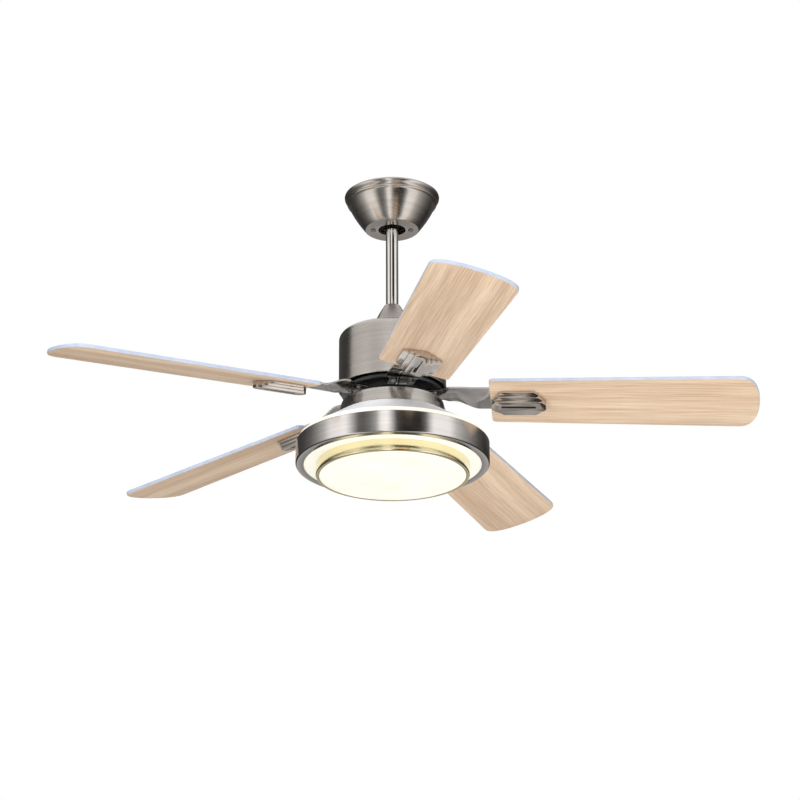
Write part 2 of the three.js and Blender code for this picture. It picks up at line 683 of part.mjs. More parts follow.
// Where the iron's middle line runs: at each station its centre, its level or pitched turn and its width.
function ironStations() {
  const level = new THREE.Quaternion();
  const pitched = new THREE.Quaternion().setFromRotationMatrix(bladeTurn);
  const footMid = footTopZ - IRON_THICK / 2;
  const padHeight = BLADE_THICK / 2 + GAP + IRON_THICK / 2;
  const onBlade = (x) => {
    const centre = new THREE.Vector3(x, 0, padHeight).applyMatrix4(bladeTurn);
    return centre.setZ(centre.z + BLADE_APEX_Z);
  };
  return [
    { centre: new THREE.Vector3(IRON_FOOT_X, 0, footMid), turn: level, width: IRON_FOOT_WIDTH },
    { centre: new THREE.Vector3(ROTOR_PLATE_R, 0, footMid), turn: level, width: IRON_FOOT_WIDTH },
    { centre: new THREE.Vector3(ROTOR_PLATE_R + 7, 0, footMid), turn: level, width: IRON_WIDTH },
    { centre: new THREE.Vector3(IRON_BEND_X, 0, footMid), turn: level, width: IRON_WIDTH },
    { centre: onBlade(IRON_TWIST_X), turn: pitched, width: IRON_WIDTH },
    { centre: onBlade(IRON_PAD_X - 20), turn: pitched, width: IRON_WIDTH },
    { centre: onBlade(IRON_PAD_X), turn: pitched, width: IRON_PAD_TIP_WIDTH },
  ];
}

// The iron is a flat strip whose slices are carried to the stations, so it bends and twists as the bar.
function bladeIron() {
  const stations = ironStations();
  const strip = new THREE.BoxGeometry(1, 1, IRON_THICK, stations.length - 1, IRON_LANES, 1);
  const position = strip.getAttribute("position");
  const corner = new THREE.Vector3();
  for (let i = 0; i < position.count; i += 1) {
    corner.fromBufferAttribute(position, i);
    const { centre, turn, width } = stations[Math.round((corner.x + 0.5) * (stations.length - 1))];
    corner.set(0, corner.y * width, corner.z).applyQuaternion(turn).add(centre);
    position.setXYZ(i, corner.x, corner.y, corner.z);
  }
  const cut = [footTopZ - IRON_THICK - THROUGH, footTopZ + THROUGH];
  const holes = [-1, 1].map((side) =>
    cylinderZ(FOOT_SCREW_R + GAP, FOOT_SCREW_X, side * FOOT_SCREW_Y, cut, 8),
  );
  return solid(strip).subtract(joined(holes));
}

// ---- Switch housing and the light ----

function switchHousing() {
  const outer = [
    [SHAFT_R + GAP, SWITCH_TOP_Z],
    ...arc(SWITCH_TOP_R - SWITCH_CORNER, SWITCH_TOP_Z - SWITCH_CORNER, SWITCH_CORNER, 90, 0, 3),
    [SWITCH_BOTTOM_R, SWITCH_BOTTOM_Z],
  ];
  const inner = [
    [SHAFT_R + GAP, SWITCH_TOP_Z - SWITCH_WALL],
    ...arc(
      SWITCH_TOP_R - SWITCH_CORNER,
      SWITCH_TOP_Z - SWITCH_CORNER,
      SWITCH_CORNER - SWITCH_WALL,
      90,
      0,
      3,
    ),
    [SWITCH_BOTTOM_R - SWITCH_WALL, SWITCH_BOTTOM_Z],
  ];
  return turned(shell(outer, inner));
}

function shaftNut() {
  const top = SWITCH_TOP_Z - SWITCH_WALL - GAP;
  const bore = cylinderZ(SHAFT_R + GAP, 0, 0, [top - NUT_HEIGHT - THROUGH, top + THROUGH], SIDES_MID);
  return cylinderZ(NUT_R, 0, 0, [top - NUT_HEIGHT, top], 6).subtract(bore);
}

const panTopZ = SWITCH_BOTTOM_Z - GAP;
const boardR = PAN_EDGE_R - BOARD_INSET;
const diffuserR = PAN_EDGE_R + DIFFUSER_OVERHANG;
const neckR = diffuserR - DIFFUSER_FACE_WIDTH;
const outerRingR = diffuserR + OUTER_RING_STAND_OFF;
const innerRingR = neckR + GAP + RING_WALL;
const innerLipR = innerRingR - INNER_RING_LIP;

// A plastic box standing on the pan's floor, on one side of the shaft.
function electronics(side, halfWidth, height) {
  const across = [side * MODULE_INNER_X, side * MODULE_OUTER_X].sort((a, b) => a - b);
  const foot = panTopZ + GAP;
  return block(across, [-halfWidth, halfWidth], [foot, foot + height]);
}

function lightPan() {
  const collarR = SWITCH_TOP_R - SWITCH_WALL - 2 * GAP;
  const slope = new THREE.Vector2(PAN_EDGE_R - SWITCH_BOTTOM_R, PAN_EDGE_Z - panTopZ).normalize();
  const inwards = [PAN_WALL * slope.y, -PAN_WALL * slope.x];
  return turned([
    [PAN_HOLE_R, panTopZ],
    [collarR - PAN_COLLAR_THICK, panTopZ],
    [collarR - PAN_COLLAR_THICK, panTopZ + PAN_COLLAR_HEIGHT],
    [collarR, panTopZ + PAN_COLLAR_HEIGHT],
    [collarR, panTopZ],
    [SWITCH_BOTTOM_R, panTopZ],
    [PAN_EDGE_R, PAN_EDGE_Z],
    [PAN_EDGE_R, PAN_EDGE_Z - PAN_WALL],
    [PAN_EDGE_R - PAN_FLANGE_WIDTH, PAN_EDGE_Z - PAN_WALL],
    [PAN_EDGE_R - PAN_FLANGE_WIDTH, PAN_EDGE_Z],
    [PAN_EDGE_R + 2 * inwards[0], PAN_EDGE_Z],
    [SWITCH_BOTTOM_R + inwards[0], panTopZ + inwards[1]],
    [PAN_HOLE_R, panTopZ + inwards[1]],
  ]);
}

const boardTopZ = PAN_EDGE_Z - PAN_WALL - GAP;

function ledBoard() {
  return tube(boardR, PAN_HOLE_R, boardTopZ, boardTopZ - BOARD_THICK, SIDES_WIDE);
}

function mainDiffuser() {
  const wallR = diffuserR - DIFFUSER_WALL;
  const floorTop = DIFFUSER_BOTTOM_Z + DIFFUSER_WALL;
  return turned([
    [boardR + GAP, boardTopZ],
    [diffuserR, boardTopZ],
    [diffuserR, DIFFUSER_BOTTOM_Z],
    [neckR, DIFFUSER_BOTTOM_Z],
    [neckR, NECK_END_Z],
    [neckR - NECK_WALL, NECK_END_Z],
    [neckR - NECK_WALL, floorTop],
    [wallR, floorTop],
    [wallR, boardTopZ - BOARD_THICK],
    [boardR + GAP, boardTopZ - BOARD_THICK],
  ]);
}

function outerTrimRing() {
  const wallR = outerRingR - RING_WALL;
  const lipTop = DIFFUSER_BOTTOM_Z - GAP;
  const edge = diffuserR + PLAY;
  return turned([
    [edge, OUTER_RING_TOP_Z],
    [outerRingR, OUTER_RING_TOP_Z],
    [outerRingR, lipTop + RING_WALL],
    [outerRingR - 2 * RING_WALL, lipTop - RING_WALL],
    [diffuserR - OUTER_RING_LIP, lipTop - RING_WALL],
    [diffuserR - OUTER_RING_LIP, lipTop],
    [edge, lipTop],
    [wallR, lipTop + 2 * RING_WALL],
    [wallR, OUTER_RING_TOP_Z - RING_WALL],
    [edge, OUTER_RING_TOP_Z - RING_WALL],
  ]);
}

function innerTrimRing() {
  const top = DIFFUSER_BOTTOM_Z - GAP;
  const wallR = innerRingR - RING_WALL;
  return turned([
    [wallR, top],
    [innerRingR, top],
    [innerRingR, INNER_RING_BOTTOM_Z + RING_WALL],
    [innerRingR - RING_WALL, INNER_RING_BOTTOM_Z],
    [innerLipR, INNER_RING_BOTTOM_Z],
    [innerLipR, INNER_RING_BOTTOM_Z + RING_WALL],
    [wallR, INNER_RING_BOTTOM_Z + RING_WALL],
  ]);
}

function centreDiffuser() {
  const flangeTop = NECK_END_Z - GAP;
  const flangeBottom = INNER_RING_BOTTOM_Z + RING_WALL + GAP;
  const domeR = innerLipR - PLAY;
  const flangeR = innerRingR - RING_WALL - GAP;
  const lensZ = INNER_RING_BOTTOM_Z - LENS_DROP;
  return turned([
    [0, flangeTop],
    [flangeR, flangeTop],
    [flangeR, flangeBottom],
    [domeR, flangeBottom],
    [domeR - PLAY, INNER_RING_BOTTOM_Z],
    [domeR * 0.93, INNER_RING_BOTTOM_Z - LENS_DROP * 0.35],
    [domeR * 0.6, INNER_RING_BOTTOM_Z - LENS_DROP * 0.8],
    [0, lensZ],
  ]);
}

// ---- The fan ----

const fan = new THREE.Group();

addPiece(fan, "hanger_bracket", hangerBracket(), zincSteel);
addPiece(fan, "canopy", canopy(), brushedNickel);
addPiece(fan, "canopy_screw_left", canopyScrew(-1), darkNickel);
addPiece(fan, "canopy_screw_right", canopyScrew(1), darkNickel);

const crossPin = cylinderX(CROSS_PIN_R, [-CROSS_PIN_HALF, CROSS_PIN_HALF], 0, ballZ);
addPiece(fan, "hanger_ball", hangerBall(), ballPlastic);
addPiece(fan, "ball_cross_pin", crossPin, zincSteel);
addPiece(fan, "downrod", downrod(), polishedSteel);
addPiece(fan, "motor_yoke", motorYoke(), zincSteel);
addPiece(fan, "yoke_clevis_pin", clevisPin(), zincSteel);
addPiece(fan, "yoke_pin_clip", pinClip(), bearingSteel);
addPiece(fan, "yoke_set_screw", setScrew(), zincSteel);
addPiece(fan, "coupling_cover", couplingCover(), darkNickel);

const shaftTop = ROD_END_Z - GAP - GAP;
const innerRaceR = SHAFT_R + GAP + BEARING_RACE;
addPiece(fan, "motor_housing", motorHousing(), brushedNickel);
addPiece(fan, "motor_shaft", tube(SHAFT_R, SHAFT_BORE_R, shaftTop, SHAFT_END_Z), bearingSteel);
addPiece(fan, "stator_core", statorCore(), laminations);
addPiece(fan, "stator_winding", statorWinding(), copper);
addPiece(fan, "rotor_magnet_ring", magnetRing(), ferrite);
addPiece(fan, "rotor_upper_shell", rotorUpperShell(), zincSteel);
addPiece(fan, "rotor_lower_shell", rotorLowerShell(), blackEnamel);
for (const [level, top] of Object.entries({ upper: BEARING_TOP_Z, lower: BEARING_LOW_Z })) {
  const bottom = top - BEARING_WIDTH;
  const inner = tube(innerRaceR, SHAFT_R + GAP, top, bottom);
  const outer = tube(BEARING_R, BEARING_R - BEARING_RACE, top, bottom);
  addPiece(fan, `bearing_inner_race_${level}`, inner, bearingSteel);
  addPiece(fan, `bearing_outer_race_${level}`, outer, bearingSteel);
  addPiece(fan, `bearing_ball_cage_${level}`, ballCage(top), bearingSteel);
}

footScrewPlaces().forEach((places, i) => {
  const spoke = new THREE.Group();
  spoke.rotation.z = FIRST_BLADE + (2 * Math.PI * i) / BLADES;
  fan.add(spoke);
  addPiece(spoke, `blade_iron_${i + 1}`, bladeIron(), chrome);
  const pitched = new THREE.Group();
  pitched.position.z = BLADE_APEX_Z;
  pitched.rotation.set(-BLADE_PITCH, BLADE_DROOP, 0, "ZYX");
  spoke.add(pitched);
  addPiece(pitched, `blade_${i + 1}`, blade(), paleOak);
  addPiece(pitched, `medallion_${i + 1}`, medallion(), brushedNickel);
  places.forEach((place, side) => {
    addPiece(fan, `iron_screw_${i + 1}_${"ab"[side]}`, footScrew(place), zincSteel);
  });
});

addPiece(fan, "switch_housing", switchHousing(), brushedNickel);
addPiece(fan, "shaft_nut", shaftNut(), zincSteel);
addPiece(fan, "led_driver", electronics(1, DRIVER_HALF_WIDTH, DRIVER_HEIGHT), modulePlastic);
addPiece(fan, "remote_receiver", electronics(-1, RECEIVER_HALF_WIDTH, RECEIVER_HEIGHT), modulePlastic);
addPiece(fan, "light_pan", lightPan(), whiteEnamel);
addPiece(fan, "led_board", ledBoard(), boardWhite);
addPiece(fan, "main_diffuser", mainDiffuser(), glowingAcrylic);
addPiece(fan, "outer_trim_ring", outerTrimRing(), brushedNickel);
addPiece(fan, "inner_trim_ring", innerTrimRing(), brushedNickel);
addPiece(fan, "centre_diffuser", centreDiffuser(), glowingAcrylic);

export default fan;
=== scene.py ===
# A five-blade ceiling fan with a stepped LED light, hung from the ceiling by a short downrod.
# Metres, +Z up, with the ceiling plane at z = 0. The fan's own sizes are in millimetres, scaled by MM.
import math

import bpy
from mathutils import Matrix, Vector


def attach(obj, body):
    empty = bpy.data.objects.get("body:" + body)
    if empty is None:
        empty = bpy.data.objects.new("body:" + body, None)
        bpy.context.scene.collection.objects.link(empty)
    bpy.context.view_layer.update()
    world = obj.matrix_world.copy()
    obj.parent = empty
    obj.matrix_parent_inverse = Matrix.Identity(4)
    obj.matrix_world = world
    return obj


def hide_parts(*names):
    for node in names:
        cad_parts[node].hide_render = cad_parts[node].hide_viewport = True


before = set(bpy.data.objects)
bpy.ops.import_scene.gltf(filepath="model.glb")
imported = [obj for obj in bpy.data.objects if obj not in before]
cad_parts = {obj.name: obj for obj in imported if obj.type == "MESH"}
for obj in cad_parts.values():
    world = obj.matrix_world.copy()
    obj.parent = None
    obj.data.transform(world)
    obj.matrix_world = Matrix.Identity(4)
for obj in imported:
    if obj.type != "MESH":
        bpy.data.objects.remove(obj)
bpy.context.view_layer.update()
MM = 0.001


# ---- Hanger bracket ----
# A pressed plate screwed to the ceiling box, with a slotted seat for the ball and two tabs for the canopy.
# Zinc-plated steel: a dull grey skin with a faint cloudy spangle and finer scratches.


def add_node(tree, kind, links=None, **settings):
    """A node with its properties set and its inputs given as values or as sockets to link from."""
    node = tree.nodes.new(kind)
    for key, value in settings.items():
        setattr(node, key, value)
    for key, value in (links or {}).items():
        if isinstance(value, bpy.types.NodeSocket):
            tree.links.new(value, node.inputs[key])
        else:
            node.inputs[key].default_value = value
    return node


def noise(tree, vector, scale, detail=3.0, roughness=0.5):
    """Noise from 0 to 1 at a point, with its scale in features to the metre."""
    links = {"Vector": vector, "Scale": scale, "Detail": detail, "Roughness": roughness}
    return add_node(tree, "ShaderNodeTexNoise", links).outputs["Fac"]


def remap(tree, value, low, high, from_low=0.3, from_high=0.7):
    """The value spread from one range over another. Noise mostly keeps between 0.3 and 0.7."""
    links = {"Value": value, 1: from_low, 2: from_high, 3: low, 4: high}
    return add_node(tree, "ShaderNodeMapRange", links).outputs[0]


def vector_math(tree, operation, *vectors):
    """The vector that an operation makes of one or two vectors."""
    return add_node(tree, "ShaderNodeVectorMath", dict(enumerate(vectors)), operation=operation).outputs[0]


def mixed(tree, share, first, second):
    """One colour blended into another."""
    links = {"Factor": share, 6: first, 7: second}
    return add_node(tree, "ShaderNodeMix", links, data_type="RGBA").outputs[2]


def finished(group, **outputs):
    """Gives a shader node group an output for each of the named values, which are all numbers."""
    for label in outputs:
        group.interface.new_socket(name=label, in_out="OUTPUT", socket_type="NodeSocketFloat")
    out = group.nodes.new("NodeGroupOutput")
    for label, value in outputs.items():
        group.links.new(value, out.inputs[label])
    return group


def cast_finish():
    """Cloudy tone, roughness and grain for plated, painted or moulded pieces that aren't brushed."""
    group = bpy.data.node_groups.new("CastFinish", "ShaderNodeTree")
    place = add_node(group, "ShaderNodeTexCoord").outputs["Object"]
    tone = remap(group, noise(group, place, 45.0, 4.0), 0.0, 1.0)
    wear = remap(group, noise(group, place, 120.0, 5.0), 0.0, 1.0)
    speck = noise(group, place, 900.0, 2.0)
    return finished(group, Shade=tone, Roughness=wear, Height=speck)


CAST = cast_finish()


def material(name, group, dark, light, rough, bump=0.02, metallic=1.0, lean=0.0, **constants):
    """A surface whose colour, roughness and relief follow one shared group, between the two ends given.

    Lean tips its shading down, so that it mirrors what lies lower in the room.
    """
    made = bpy.data.materials.new(name)
    made.use_nodes = True
    tree = made.node_tree
    shader = tree.nodes["Principled BSDF"]
    effect = add_node(tree, "ShaderNodeGroup", node_tree=group)
    colour = mixed(tree, effect.outputs["Shade"], (*dark, 1.0), (*light, 1.0))
    tree.links.new(colour, shader.inputs["Base Color"])
    spread = remap(tree, effect.outputs["Roughness"], rough[0], rough[1], 0.0, 1.0)
    tree.links.new(spread, shader.inputs["Roughness"])
    links = {"Height": effect.outputs["Height"], "Strength": bump, "Distance": 0.0005}
    normal = add_node(tree, "ShaderNodeBump", links).outputs[0]
    if lean:
        normal = vector_math(tree, "ADD", normal, (0.0, 0.0, -lean))
        normal = vector_math(tree, "NORMALIZE", normal)
    tree.links.new(normal, shader.inputs["Normal"])
    shader.inputs["Metallic"].default_value = metallic
    for key, value in constants.items():
        shader.inputs[key.replace("_", " ")].default_value = value
    return made


zinc = material("ZincPlate", CAST, (0.42, 0.43, 0.44), (0.62, 0.63, 0.64), (0.32, 0.5), 0.05)


def keep_cad(node, surface):
    """A CAD node that shows as it is, with a procedural surface."""
    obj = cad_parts[node]
    obj.data.materials.clear()
    obj.data.materials.append(surface)


keep_cad("hanger_bracket", zinc)


# ---- Canopy and its screws ----
# A spun steel bowl against the ceiling, with a rolled rim, a bead below it and a round hole in its floor.
# Brushed nickel, brushed round the axis, so its highlights run down it. Two screws hold it to the bracket.


def turned(name, outline, sides=96, soft=0.3, smooth=32):
    """A closed outline of (radius, height) points in millimetres spun about Z, with its edges softened."""
    bpy.ops.object.select_all(action="DESELECT")
    bpy.ops.mesh.primitive_plane_add(size=1, location=(0, 0, 0))
    obj = bpy.context.object
    obj.name = obj.data.name = name
    points = list(outline)
    if points[0][0] > 0 or points[-1][0] > 0:
        points.append(points[0])
    bpy.ops.object.mode_set(mode="EDIT")
    bpy.ops.mesh.select_all(action="SELECT")
    bpy.ops.mesh.merge(type="CENTER")
    bpy.ops.transform.translate(value=(points[0][0] * MM, 0, points[0][1] * MM))
    for (r0, z0), (r1, z1) in zip(points, points[1:]):
        step = ((r1 - r0) * MM, 0, (z1 - z0) * MM)
        bpy.ops.mesh.extrude_vertices_move(TRANSFORM_OT_translate={"value": step})
    bpy.ops.mesh.select_all(action="SELECT")
    bpy.ops.mesh.remove_doubles(threshold=2e-6)
    bpy.ops.mesh.spin(steps=sides, angle=2 * math.pi, center=(0, 0, 0), axis=(0, 0, 1))
    bpy.ops.mesh.select_all(action="SELECT")
    bpy.ops.mesh.remove_doubles(threshold=2e-6)
    bpy.ops.mesh.normals_make_consistent(inside=False)
    bpy.ops.object.mode_set(mode="OBJECT")
    soften(obj, soft, smooth)
    return obj


def soften(obj, width, smooth=32, segments=2):
    """A small round on every sharp edge, then smooth shading up to the given angle."""
    if width:
        bpy.ops.object.modifier_add(type="BEVEL")
        edge = obj.modifiers[-1]
        edge.limit_method = "ANGLE"
        edge.angle_limit = math.radians(38)
        edge.width = width * MM
        edge.segments = segments
        bpy.ops.object.modifier_apply(modifier=edge.name)
    bpy.ops.object.shade_smooth_by_angle(angle=math.radians(smooth))


def arc(r, z, radius, start, end, steps=6):
    """Points on part of a circle, from one angle to another in degrees."""
    turns = [math.radians(start + (end - start) * i / steps) for i in range(steps + 1)]
    return [(r + radius * math.cos(a), z + radius * math.sin(a)) for a in turns]


def bowed(first, pull, last, steps=10):
    """Points on a curve from the first to the last that leans towards the middle one."""
    shares = [i / steps for i in range(steps + 1)]
    weights = [((1 - t) ** 2, 2 * t * (1 - t), t * t) for t in shares]
    ends = (first, pull, last)
    return [tuple(sum(w * p[k] for w, p in zip(ws, ends)) for k in (0, 1)) for ws in weights]


def number_math(tree, operation, *numbers, **settings):
    """The number that an operation makes of one or two numbers."""
    links = dict(enumerate(numbers))
    return add_node(tree, "ShaderNodeMath", links, operation=operation, **settings).outputs[0]


def turned_brush():
    """Fine rings round the Z axis, which a brush leaves on a piece that turns in a lathe."""
    group = bpy.data.node_groups.new("TurnedBrush", "ShaderNodeTree")
    place = add_node(group, "ShaderNodeTexCoord").outputs["Object"]
    axes = add_node(group, "ShaderNodeSeparateXYZ", {0: place}).outputs
    flat = add_node(group, "ShaderNodeCombineXYZ", {"X": axes["X"], "Y": axes["Y"]}).outputs[0]
    reach = add_node(group, "ShaderNodeVectorMath", {0: flat}, operation="LENGTH").outputs["Value"]
    ring = add_node(group, "ShaderNodeCombineXYZ", {"X": reach, "Y": axes["Z"]}).outputs[0]
    close = vector_math(group, "MULTIPLY", ring, (900.0, 900.0, 900.0))
    around = vector_math(group, "NORMALIZE", flat)
    sweep = vector_math(group, "MULTIPLY", around, (1.6, 1.6, 1.6))
    lines = vector_math(group, "ADD", close, sweep)
    fine = noise(group, lines, 1.0, 4.0, 0.65)
    broad = noise(group, lines, 0.16, 2.0)
    smudge = noise(group, place, 28.0, 4.0)
    tone = remap(group, number_math(group, "ADD", fine, broad), 0.0, 1.0, 0.7, 1.3)
    wear = remap(group, number_math(group, "ADD", fine, smudge), 0.0, 1.0, 0.7, 1.3)
    return finished(group, Shade=tone, Roughness=wear, Height=fine)


BRUSH = turned_brush()
nickel_look = {"Anisotropic": 0.75, "Anisotropic_Rotation": 0.25}
nickel_dark, nickel_light = (0.52, 0.485, 0.455), (0.62, 0.585, 0.55)
nickel = material("BrushedNickel", BRUSH, nickel_dark, nickel_light, (0.2, 0.3), 0.012, **nickel_look)
shade_dark, shade_light = (0.33, 0.3, 0.275), (0.42, 0.385, 0.355)
dark_nickel = material("DarkNickel", BRUSH, shade_dark, shade_light, (0.22, 0.32), 0.012, **nickel_look)


def fit(obj, body, finish_slot, surfaces, *nodes):
    """Gives a finished piece its surfaces and its body, and hides the CAD nodes that it stands for. The
    finish slot is not used.
    """
    for surface in surfaces:
        obj.data.materials.append(surface)
    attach(obj, body)
    if nodes:
        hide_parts(*nodes)


canopy_outside = [
    (80.4, -0.2),
    (81.6, -0.7),
    (82.1, -2.2),
    (81.8, -4.4),
    (80.2, -6.4),
    (77.6, -8.2),
    (76.3, -10.2),
    *arc(75.9, -13.0, 1.9, 70, -66, 5),
    (75.2, -15.6),
    *bowed((74.3, -16.6), (67.4, -35.0), (47.5, -61.2), 12),
    (45.6, -62.8),
    (44.0, -63.0),
    (23.5, -63.0),
]
canopy_inside = [
    (23.5, -61.8),
    (44.0, -61.8),
    *bowed((46.3, -60.2), (66.0, -35.0), (73.0, -16.6), 12),
    (75.1, -9.0),
    (80.4, -4.6),
]
canopy = turned("canopy_bowl", canopy_outside + canopy_inside, sides=128, soft=0.25)
fit(canopy, "ceiling_mount", "brushed_nickel", [nickel], "canopy")


def pick(obj):
    """Selects one object and nothing else."""
    bpy.ops.object.select_all(action="DESELECT")
    obj.select_set(True)
    bpy.context.view_layer.objects.active = obj


def copied(pattern, name, turn, x=0.0, y=0.0, height=0.0):
    """A copy with its own mesh, moved across by x and y, then turned about the origin, then raised."""
    pick(pattern)
    bpy.ops.object.duplicate(linked=False)
    made = bpy.context.object
    made.name = made.data.name = name
    made.location = (x * MM, y * MM, 0)
    bpy.ops.object.transform_apply(location=True, rotation=False, scale=False)
    made.rotation_euler = turn
    made.location = (0, 0, height * MM)
    bpy.ops.object.transform_apply(location=True, rotation=True, scale=False)
    return made


CANOPY_SCREW_X = 32.0
canopy_screw_outline = [
    (0, -60.0),
    (2.0, -60.0),
    (2.0, -63.3),
    (4.0, -63.3),
    (4.0, -64.4),
    (3.2, -65.1),
    (1.6, -65.3),
    (1.2, -64.3),
    (0, -64.3),
]
canopy_screw = turned("canopy_screw_pattern", canopy_screw_outline, sides=24, soft=0.15)
for side, hand in ((-1, "left"), (1, "right")):
    made = copied(canopy_screw, f"canopy_screw_{hand}_shown", (0, 0, 0), side * CANOPY_SCREW_X)
    fit(made, "ceiling_mount", "dark_nickel", [dark_nickel], f"canopy_screw_{hand}")
bpy.data.objects.remove(canopy_screw)


# ---- Hanger ball and cross pin ----
# A moulded black ball sits in the bracket's seat and lets the fan hang straight. Hard plastic.
# A steel cross pin through the ball and the rod carries the weight.
ball_dark, ball_light = (0.018, 0.018, 0.019), (0.035, 0.035, 0.036)
black_plastic = material("BallPlastic", CAST, ball_dark, ball_light, (0.4, 0.6), 0.08, 0.0)
BALL_Z = -24.107
ball_outline = [(10.95, BALL_Z - 15.6), *arc(0, BALL_Z, 19.0, -55, 35, 14), (10.95, BALL_Z + 11.0)]
ball = turned("hanger_ball_moulded", ball_outline, sides=64, soft=0.4)
fit(ball, "hanging_body", "ball_plastic", [black_plastic], "hanger_ball")
keep_cad("ball_cross_pin", zinc)


# ---- Downrod ----
# A short length of steel tube that the whole fan hangs from, with the wires inside.
# Polished and plated, so it reflects the room in upright stripes.
polish_dark, polish_light = (0.64, 0.62, 0.59), (0.72, 0.70, 0.67)
polished = material("PolishedSteel", BRUSH, polish_dark, polish_light, (0.06, 0.1), 0.003, lean=0.28)
rod_outline = [(8.65, -18.1), (10.65, -18.1), (10.65, -246.0), (8.65, -246.0)]
rod = turned("downrod_tube", rod_outline, sides=64, soft=0.4)
fit(rod, "hanging_body", "polished_steel", [polished], "downrod")


# ---- Motor yoke, its pin, clip and set screw ----
# The cast collar on the motor that the rod enters. A clevis pin and a hairpin clip hold it, and a set
# screw stops the rattle. Zinc-plated, and seen only when the coupling cover is lifted.
yoke_outline = [
    (10.95, -224.0),
    (15.5, -224.0),
    (15.5, -260.0),
    (17.0, -262.6),
    (34.0, -263.5),
    (34.0, -267.5),
    (10.3, -267.5),
    (10.3, -246.3),
    (10.95, -246.3),
]
yoke = turned("motor_yoke_cast", yoke_outline, sides=64, soft=0.5)
fit(yoke, "hanging_body", "zinc_steel", [zinc], "motor_yoke")
spring_steel = material("SpringSteel", CAST, (0.5, 0.5, 0.51), (0.66, 0.66, 0.67), (0.16, 0.28), 0.01)
keep_cad("yoke_clevis_pin", zinc)
keep_cad("yoke_pin_clip", spring_steel)
keep_cad("yoke_set_screw", zinc)


# ---- Coupling cover ----
# A small spun bell that slides on the rod and hides the yoke. It rests on the motor housing.
# Darker brushed nickel than the housing.


def cover_radius(share):
    """The bell's radius from its neck, at 0, to its foot, at 1."""
    return NECK_R + COVER_SPREAD * share + COVER_BULGE * math.sin(math.pi * share)


NECK_R = 13.5
NECK_BORE_R = 11.25
NECK_HEIGHT = 2.4
COVER_SPREAD = 23.5
COVER_BULGE = 3.0
COVER_TOP = -206.6
COVER_HEIGHT = 55.1
COVER_WALL = 1.4
cover_steps = [i / 14 for i in range(15)]
cover_outside = [(cover_radius(s), COVER_TOP - COVER_HEIGHT * s) for s in cover_steps]
cover_inside = [(r - COVER_WALL, z) for r, z in cover_outside[:0:-1]]
neck_bore = [(NECK_BORE_R, COVER_TOP - NECK_HEIGHT), (NECK_BORE_R, COVER_TOP)]
cover_outline = [neck_bore[1], *cover_outside, *cover_inside, neck_bore[0]]
cover = turned("coupling_cover_bell", cover_outline, sides=96, soft=0.25)
fit(cover, "cover", "dark_nickel", [dark_nickel], "coupling_cover")


# ---- Motor housing ----
# The deep drum over the motor: drawn steel with a rounded shoulder and a rolled lower edge.
# Brushed nickel like the canopy.
housing_outline = [
    (15.8, -262.0),
    (60.0, -262.0),
    *arc(80.5, -272.0, 10.0, 90, 0, 10),
    (90.5, -358.4),
    *arc(90.1, -360.2, 1.5, 60, -90, 5),
    (89.3, -361.7),
    (89.3, -272.0),
    *arc(80.5, -272.0, 8.8, 0, 90, 8),
    (15.8, -263.2),
]
housing = turned("motor_housing_drum", housing_outline, sides=160, soft=0.2)
fit(housing, "hanging_body", "brushed_nickel", [nickel], "motor_housing")


# ---- Motor: shaft, bearings, stator, winding and magnets ----
# The fixed parts are pressed on the hollow shaft, and a ring of magnets turns with the rotor shell.
# Ground steel, stacked iron, enamelled copper wire and black ferrite, all inside the drum.
bearing_steel = material("BearingSteel", CAST, (0.55, 0.56, 0.57), (0.7, 0.71, 0.72), (0.12, 0.22), 0.01)
iron_stack = material("IronStack", CAST, (0.16, 0.165, 0.17), (0.27, 0.275, 0.28), (0.45, 0.65), 0.1)
copper = material("CopperWire", CAST, (0.5, 0.2, 0.08), (0.72, 0.34, 0.15), (0.25, 0.4), 0.2)
ferrite = material("Ferrite", CAST, (0.02, 0.02, 0.021), (0.045, 0.045, 0.047), (0.55, 0.75), 0.1, 0.1)
keep_cad("motor_shaft", bearing_steel)
keep_cad("stator_core", iron_stack)
keep_cad("stator_winding", copper)
keep_cad("rotor_magnet_ring", ferrite)
keep_cad("rotor_upper_shell", zinc)
for level in ("upper", "lower"):
    for part in ("inner_race", "outer_race", "ball_cage"):
        keep_cad(f"bearing_{part}_{level}", bearing_steel)


# ---- Rotor plate ----
# The lower half of the turning shell, whose wide plate carries the blade irons just below the drum.
# Black stove enamel on cast metal.
enamel_dark, enamel_light = (0.006, 0.006, 0.007), (0.013, 0.013, 0.014)
black_enamel = material(
    "BlackEnamel", CAST, enamel_dark, enamel_light, (0.25, 0.38), 0.1, 0.0, Coat_Weight=0.3
)
plate_outline = [
    (75.0, -321.3),
    (84.0, -321.3),
    (84.0, -324.3),
    (78.0, -324.3),
    (78.0, -364.0),
    (86.0, -364.0),
    (86.0, -370.0),
    (54.0, -370.0),
    (52.5, -368.6),
    (30.0, -368.6),
    (28.5, -370.0),
    (16.0, -370.0),
    (16.0, -368.3),
    (23.8, -368.3),
    (23.8, -354.0),
    (26.8, -354.0),
    (26.8, -364.0),
    (75.0, -364.0),
]
rotor_plate = turned("rotor_plate", plate_outline, sides=128, soft=0.4)
fit(rotor_plate, "rotor", "black_enamel", [black_enamel], "rotor_lower_shell")


